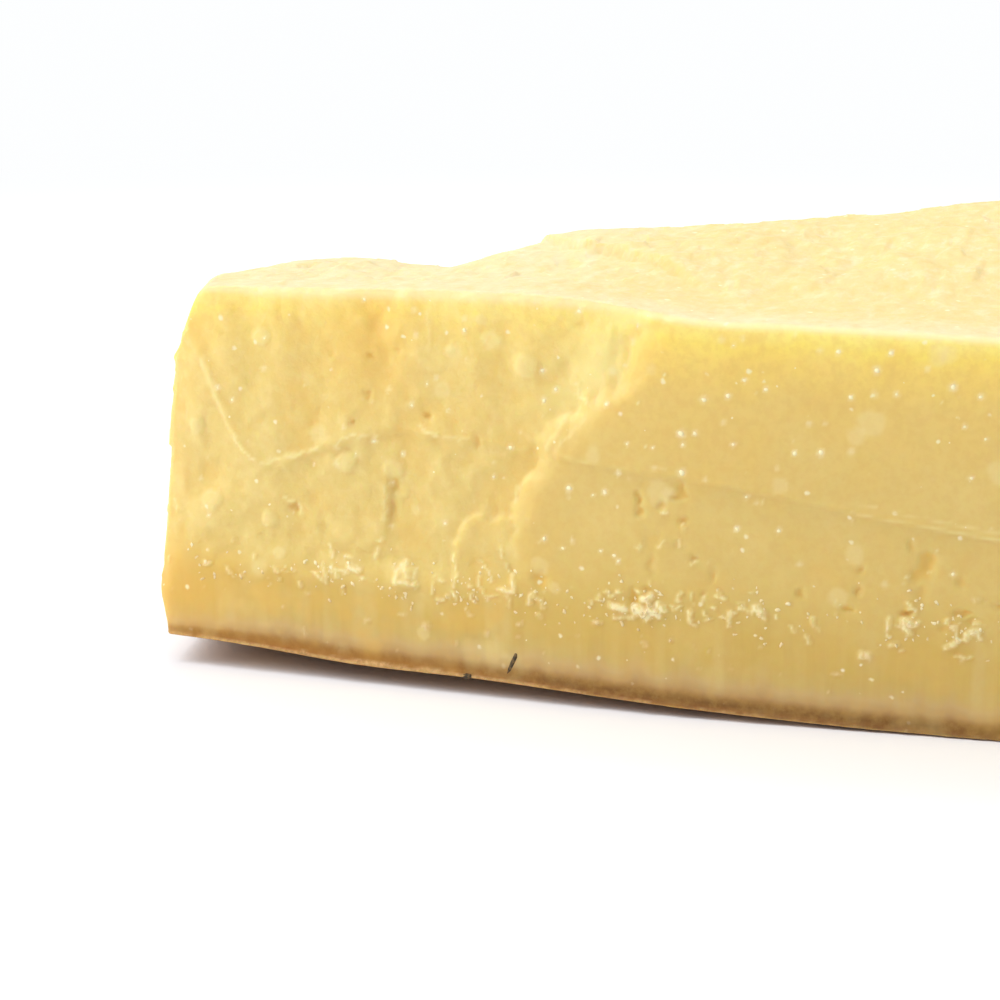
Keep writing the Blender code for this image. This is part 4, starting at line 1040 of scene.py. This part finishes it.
def crystal_material():
    """Hard, white and a little glassy, clouded by the paste round it."""
    made, _, surface = new_material("crystal_grains")
    fill(surface, {"Base Color": screen(255, 243, 192), "Roughness": 0.5})
    return made


crystal_random = np.random.default_rng(5)
crystal_x, crystal_z, crystal_radius = np.array(CRYSTALS).T
bare = crystal_strength(crystal_x, crystal_z) > BARE_FROM
crystal_x, crystal_z, crystal_radius = crystal_x[bare], crystal_z[bare], 0.7 * crystal_radius[bare]
crystal_points, crystal_faces = lumps_on(
    crystal_x,
    crystal_z,
    half_length=crystal_radius * crystal_random.uniform(0.9, 1.2, len(crystal_x)),
    half_width=crystal_radius,
    height=0.2 * crystal_radius,
    angle=crystal_random.uniform(0.0, np.pi, len(crystal_x)),
    ragged=0.25,
    random=crystal_random,
)
new_piece("crystal_grains", crystal_points, crystal_faces, crystal_material())

# --- The dark flecks -------------------------------------------------------------------------
# Two scraps of dark, dry rind that the knife dragged onto the cut: a thin dash above the rind's
# edge and a greyer speck on the edge itself. They lie flat on the paste.

# x, z, half length, half width, turn from level in degrees
FLECKS = ((63.95, 5.8, 2.1, 0.45, 66.0), (55.9, 2.7, 1.0, 0.5, 5.0))


def fleck_material():
    """Dry rind, mottled from nearly black to brown."""
    made, tree, surface = new_material("dark_flecks")
    spread = between(noise(in_mm(tree), 0.8, 3.0, 0.6), 0.4, 0.65)
    colour = mixed(spread, screen(62, 50, 30), screen(118, 92, 52))
    fill(surface, {"Base Color": colour, "Roughness": 0.7})
    return made


fleck_x, fleck_z, fleck_length, fleck_width, fleck_turn = np.array(FLECKS).T
fleck_points, fleck_faces = lumps_on(
    fleck_x,
    fleck_z,
    half_length=fleck_length,
    half_width=fleck_width,
    height=0.3 * fleck_width,
    angle=np.radians(fleck_turn),
    ragged=0.3,
    random=crystal_random,
)
new_piece("dark_flecks", fleck_points, fleck_faces, fleck_material())

# --- The table, the light and the camera -----------------------------------------------------
# A white table in a bright white room: a tall soft light on the left and a wide one overhead,
# a little behind. None of it belongs to the cheese.

TABLE_SIZE = 3.0
LIT_FROM = (0.35, 0.8)  # the table brightens into the white room between these distances
TABLE_WHITE, ROOM_WHITE, BLACK = (0.94, 0.955, 1.0, 1.0), (0.985, 0.995, 1.0, 1.0), (0.0, 0.0, 0.0, 1.0)
LIT_POINT = (0.0, 0.0, 0.03)
CAMERA_PLACE = (0.13714, -0.46505, 0.13630)
CAMERA_TILT, CAMERA_TURN, LENS, FILM_WIDTH = 77.0, 20.97, 100.0, 36.0


def table_material():
    """Matt white that goes over into the light of the room."""
    made, tree, surface = new_material("white_table")
    place = node(tree, "ShaderNodeTexCoord").outputs["Object"]
    distance = node(tree, "ShaderNodeVectorMath", {0: place}, operation="LENGTH").outputs["Value"]
    far = between(distance, *LIT_FROM)
    fill(surface, {
        "Base Color": mixed(far, TABLE_WHITE, BLACK),
        "Emission Strength": far,
        "Emission Color": ROOM_WHITE,
        "Specular IOR Level": 0.0,
        "Roughness": 1.0,
    })
    return made


def soft_light(name, place, width, height, power):
    """A panel of light at place, turned to face the cheese, with its width level."""
    data = bpy.data.lights.new(name, "AREA")
    data.shape = "RECTANGLE"
    data.size, data.size_y = width, height
    data.energy = power
    light = placed(name, data)
    light.location = place
    away = light.location - type(light.location)(LIT_POINT)
    light.rotation_euler = away.to_track_quat("Z", "Y").to_euler()


corner = TABLE_SIZE / 2
corners = [(corner * x, corner * y, 0.0) for x, y in ((-1, -1), (1, -1), (1, 1), (-1, 1))]
table_mesh = bpy.data.meshes.new("white_table")
table_mesh.from_pydata(corners, [], [(0, 1, 2, 3)])
table_mesh.materials.append(table_material())
white_table = placed("white_table", table_mesh)

soft_light("key", place=(-0.75, -0.38, 0.85), width=0.35, height=1.3, power=10.7)
soft_light("overhead", place=(-0.05, 0.6, 0.8), width=0.8, height=0.8, power=3.4)

ROOM_COLOURS = ((0.0, ROOM_WHITE), (0.12, (0.42, 0.42, 0.42, 1.0)), (1.0, (0.75, 0.75, 0.75, 1.0)))
room = bpy.data.worlds.new("white_room")
room.use_nodes = True
sky = room.node_tree
towards = node(sky, "ShaderNodeSeparateXYZ", {0: node(sky, "ShaderNodeTexCoord").outputs["Generated"]})
fill(sky.nodes["Background"], {"Color": ramp(towards.outputs["Z"], ROOM_COLOURS)})
bpy.context.scene.world = room
bpy.context.scene.view_settings.view_transform = "Standard"

camera_data = bpy.data.cameras.new("camera")
camera_data.lens = LENS
camera_data.sensor_width = FILM_WIDTH
camera = placed("camera", camera_data)
camera.location = CAMERA_PLACE
camera.rotation_euler = (np.radians(CAMERA_TILT), 0.0, np.radians(CAMERA_TURN))
bpy.context.scene.camera = camera
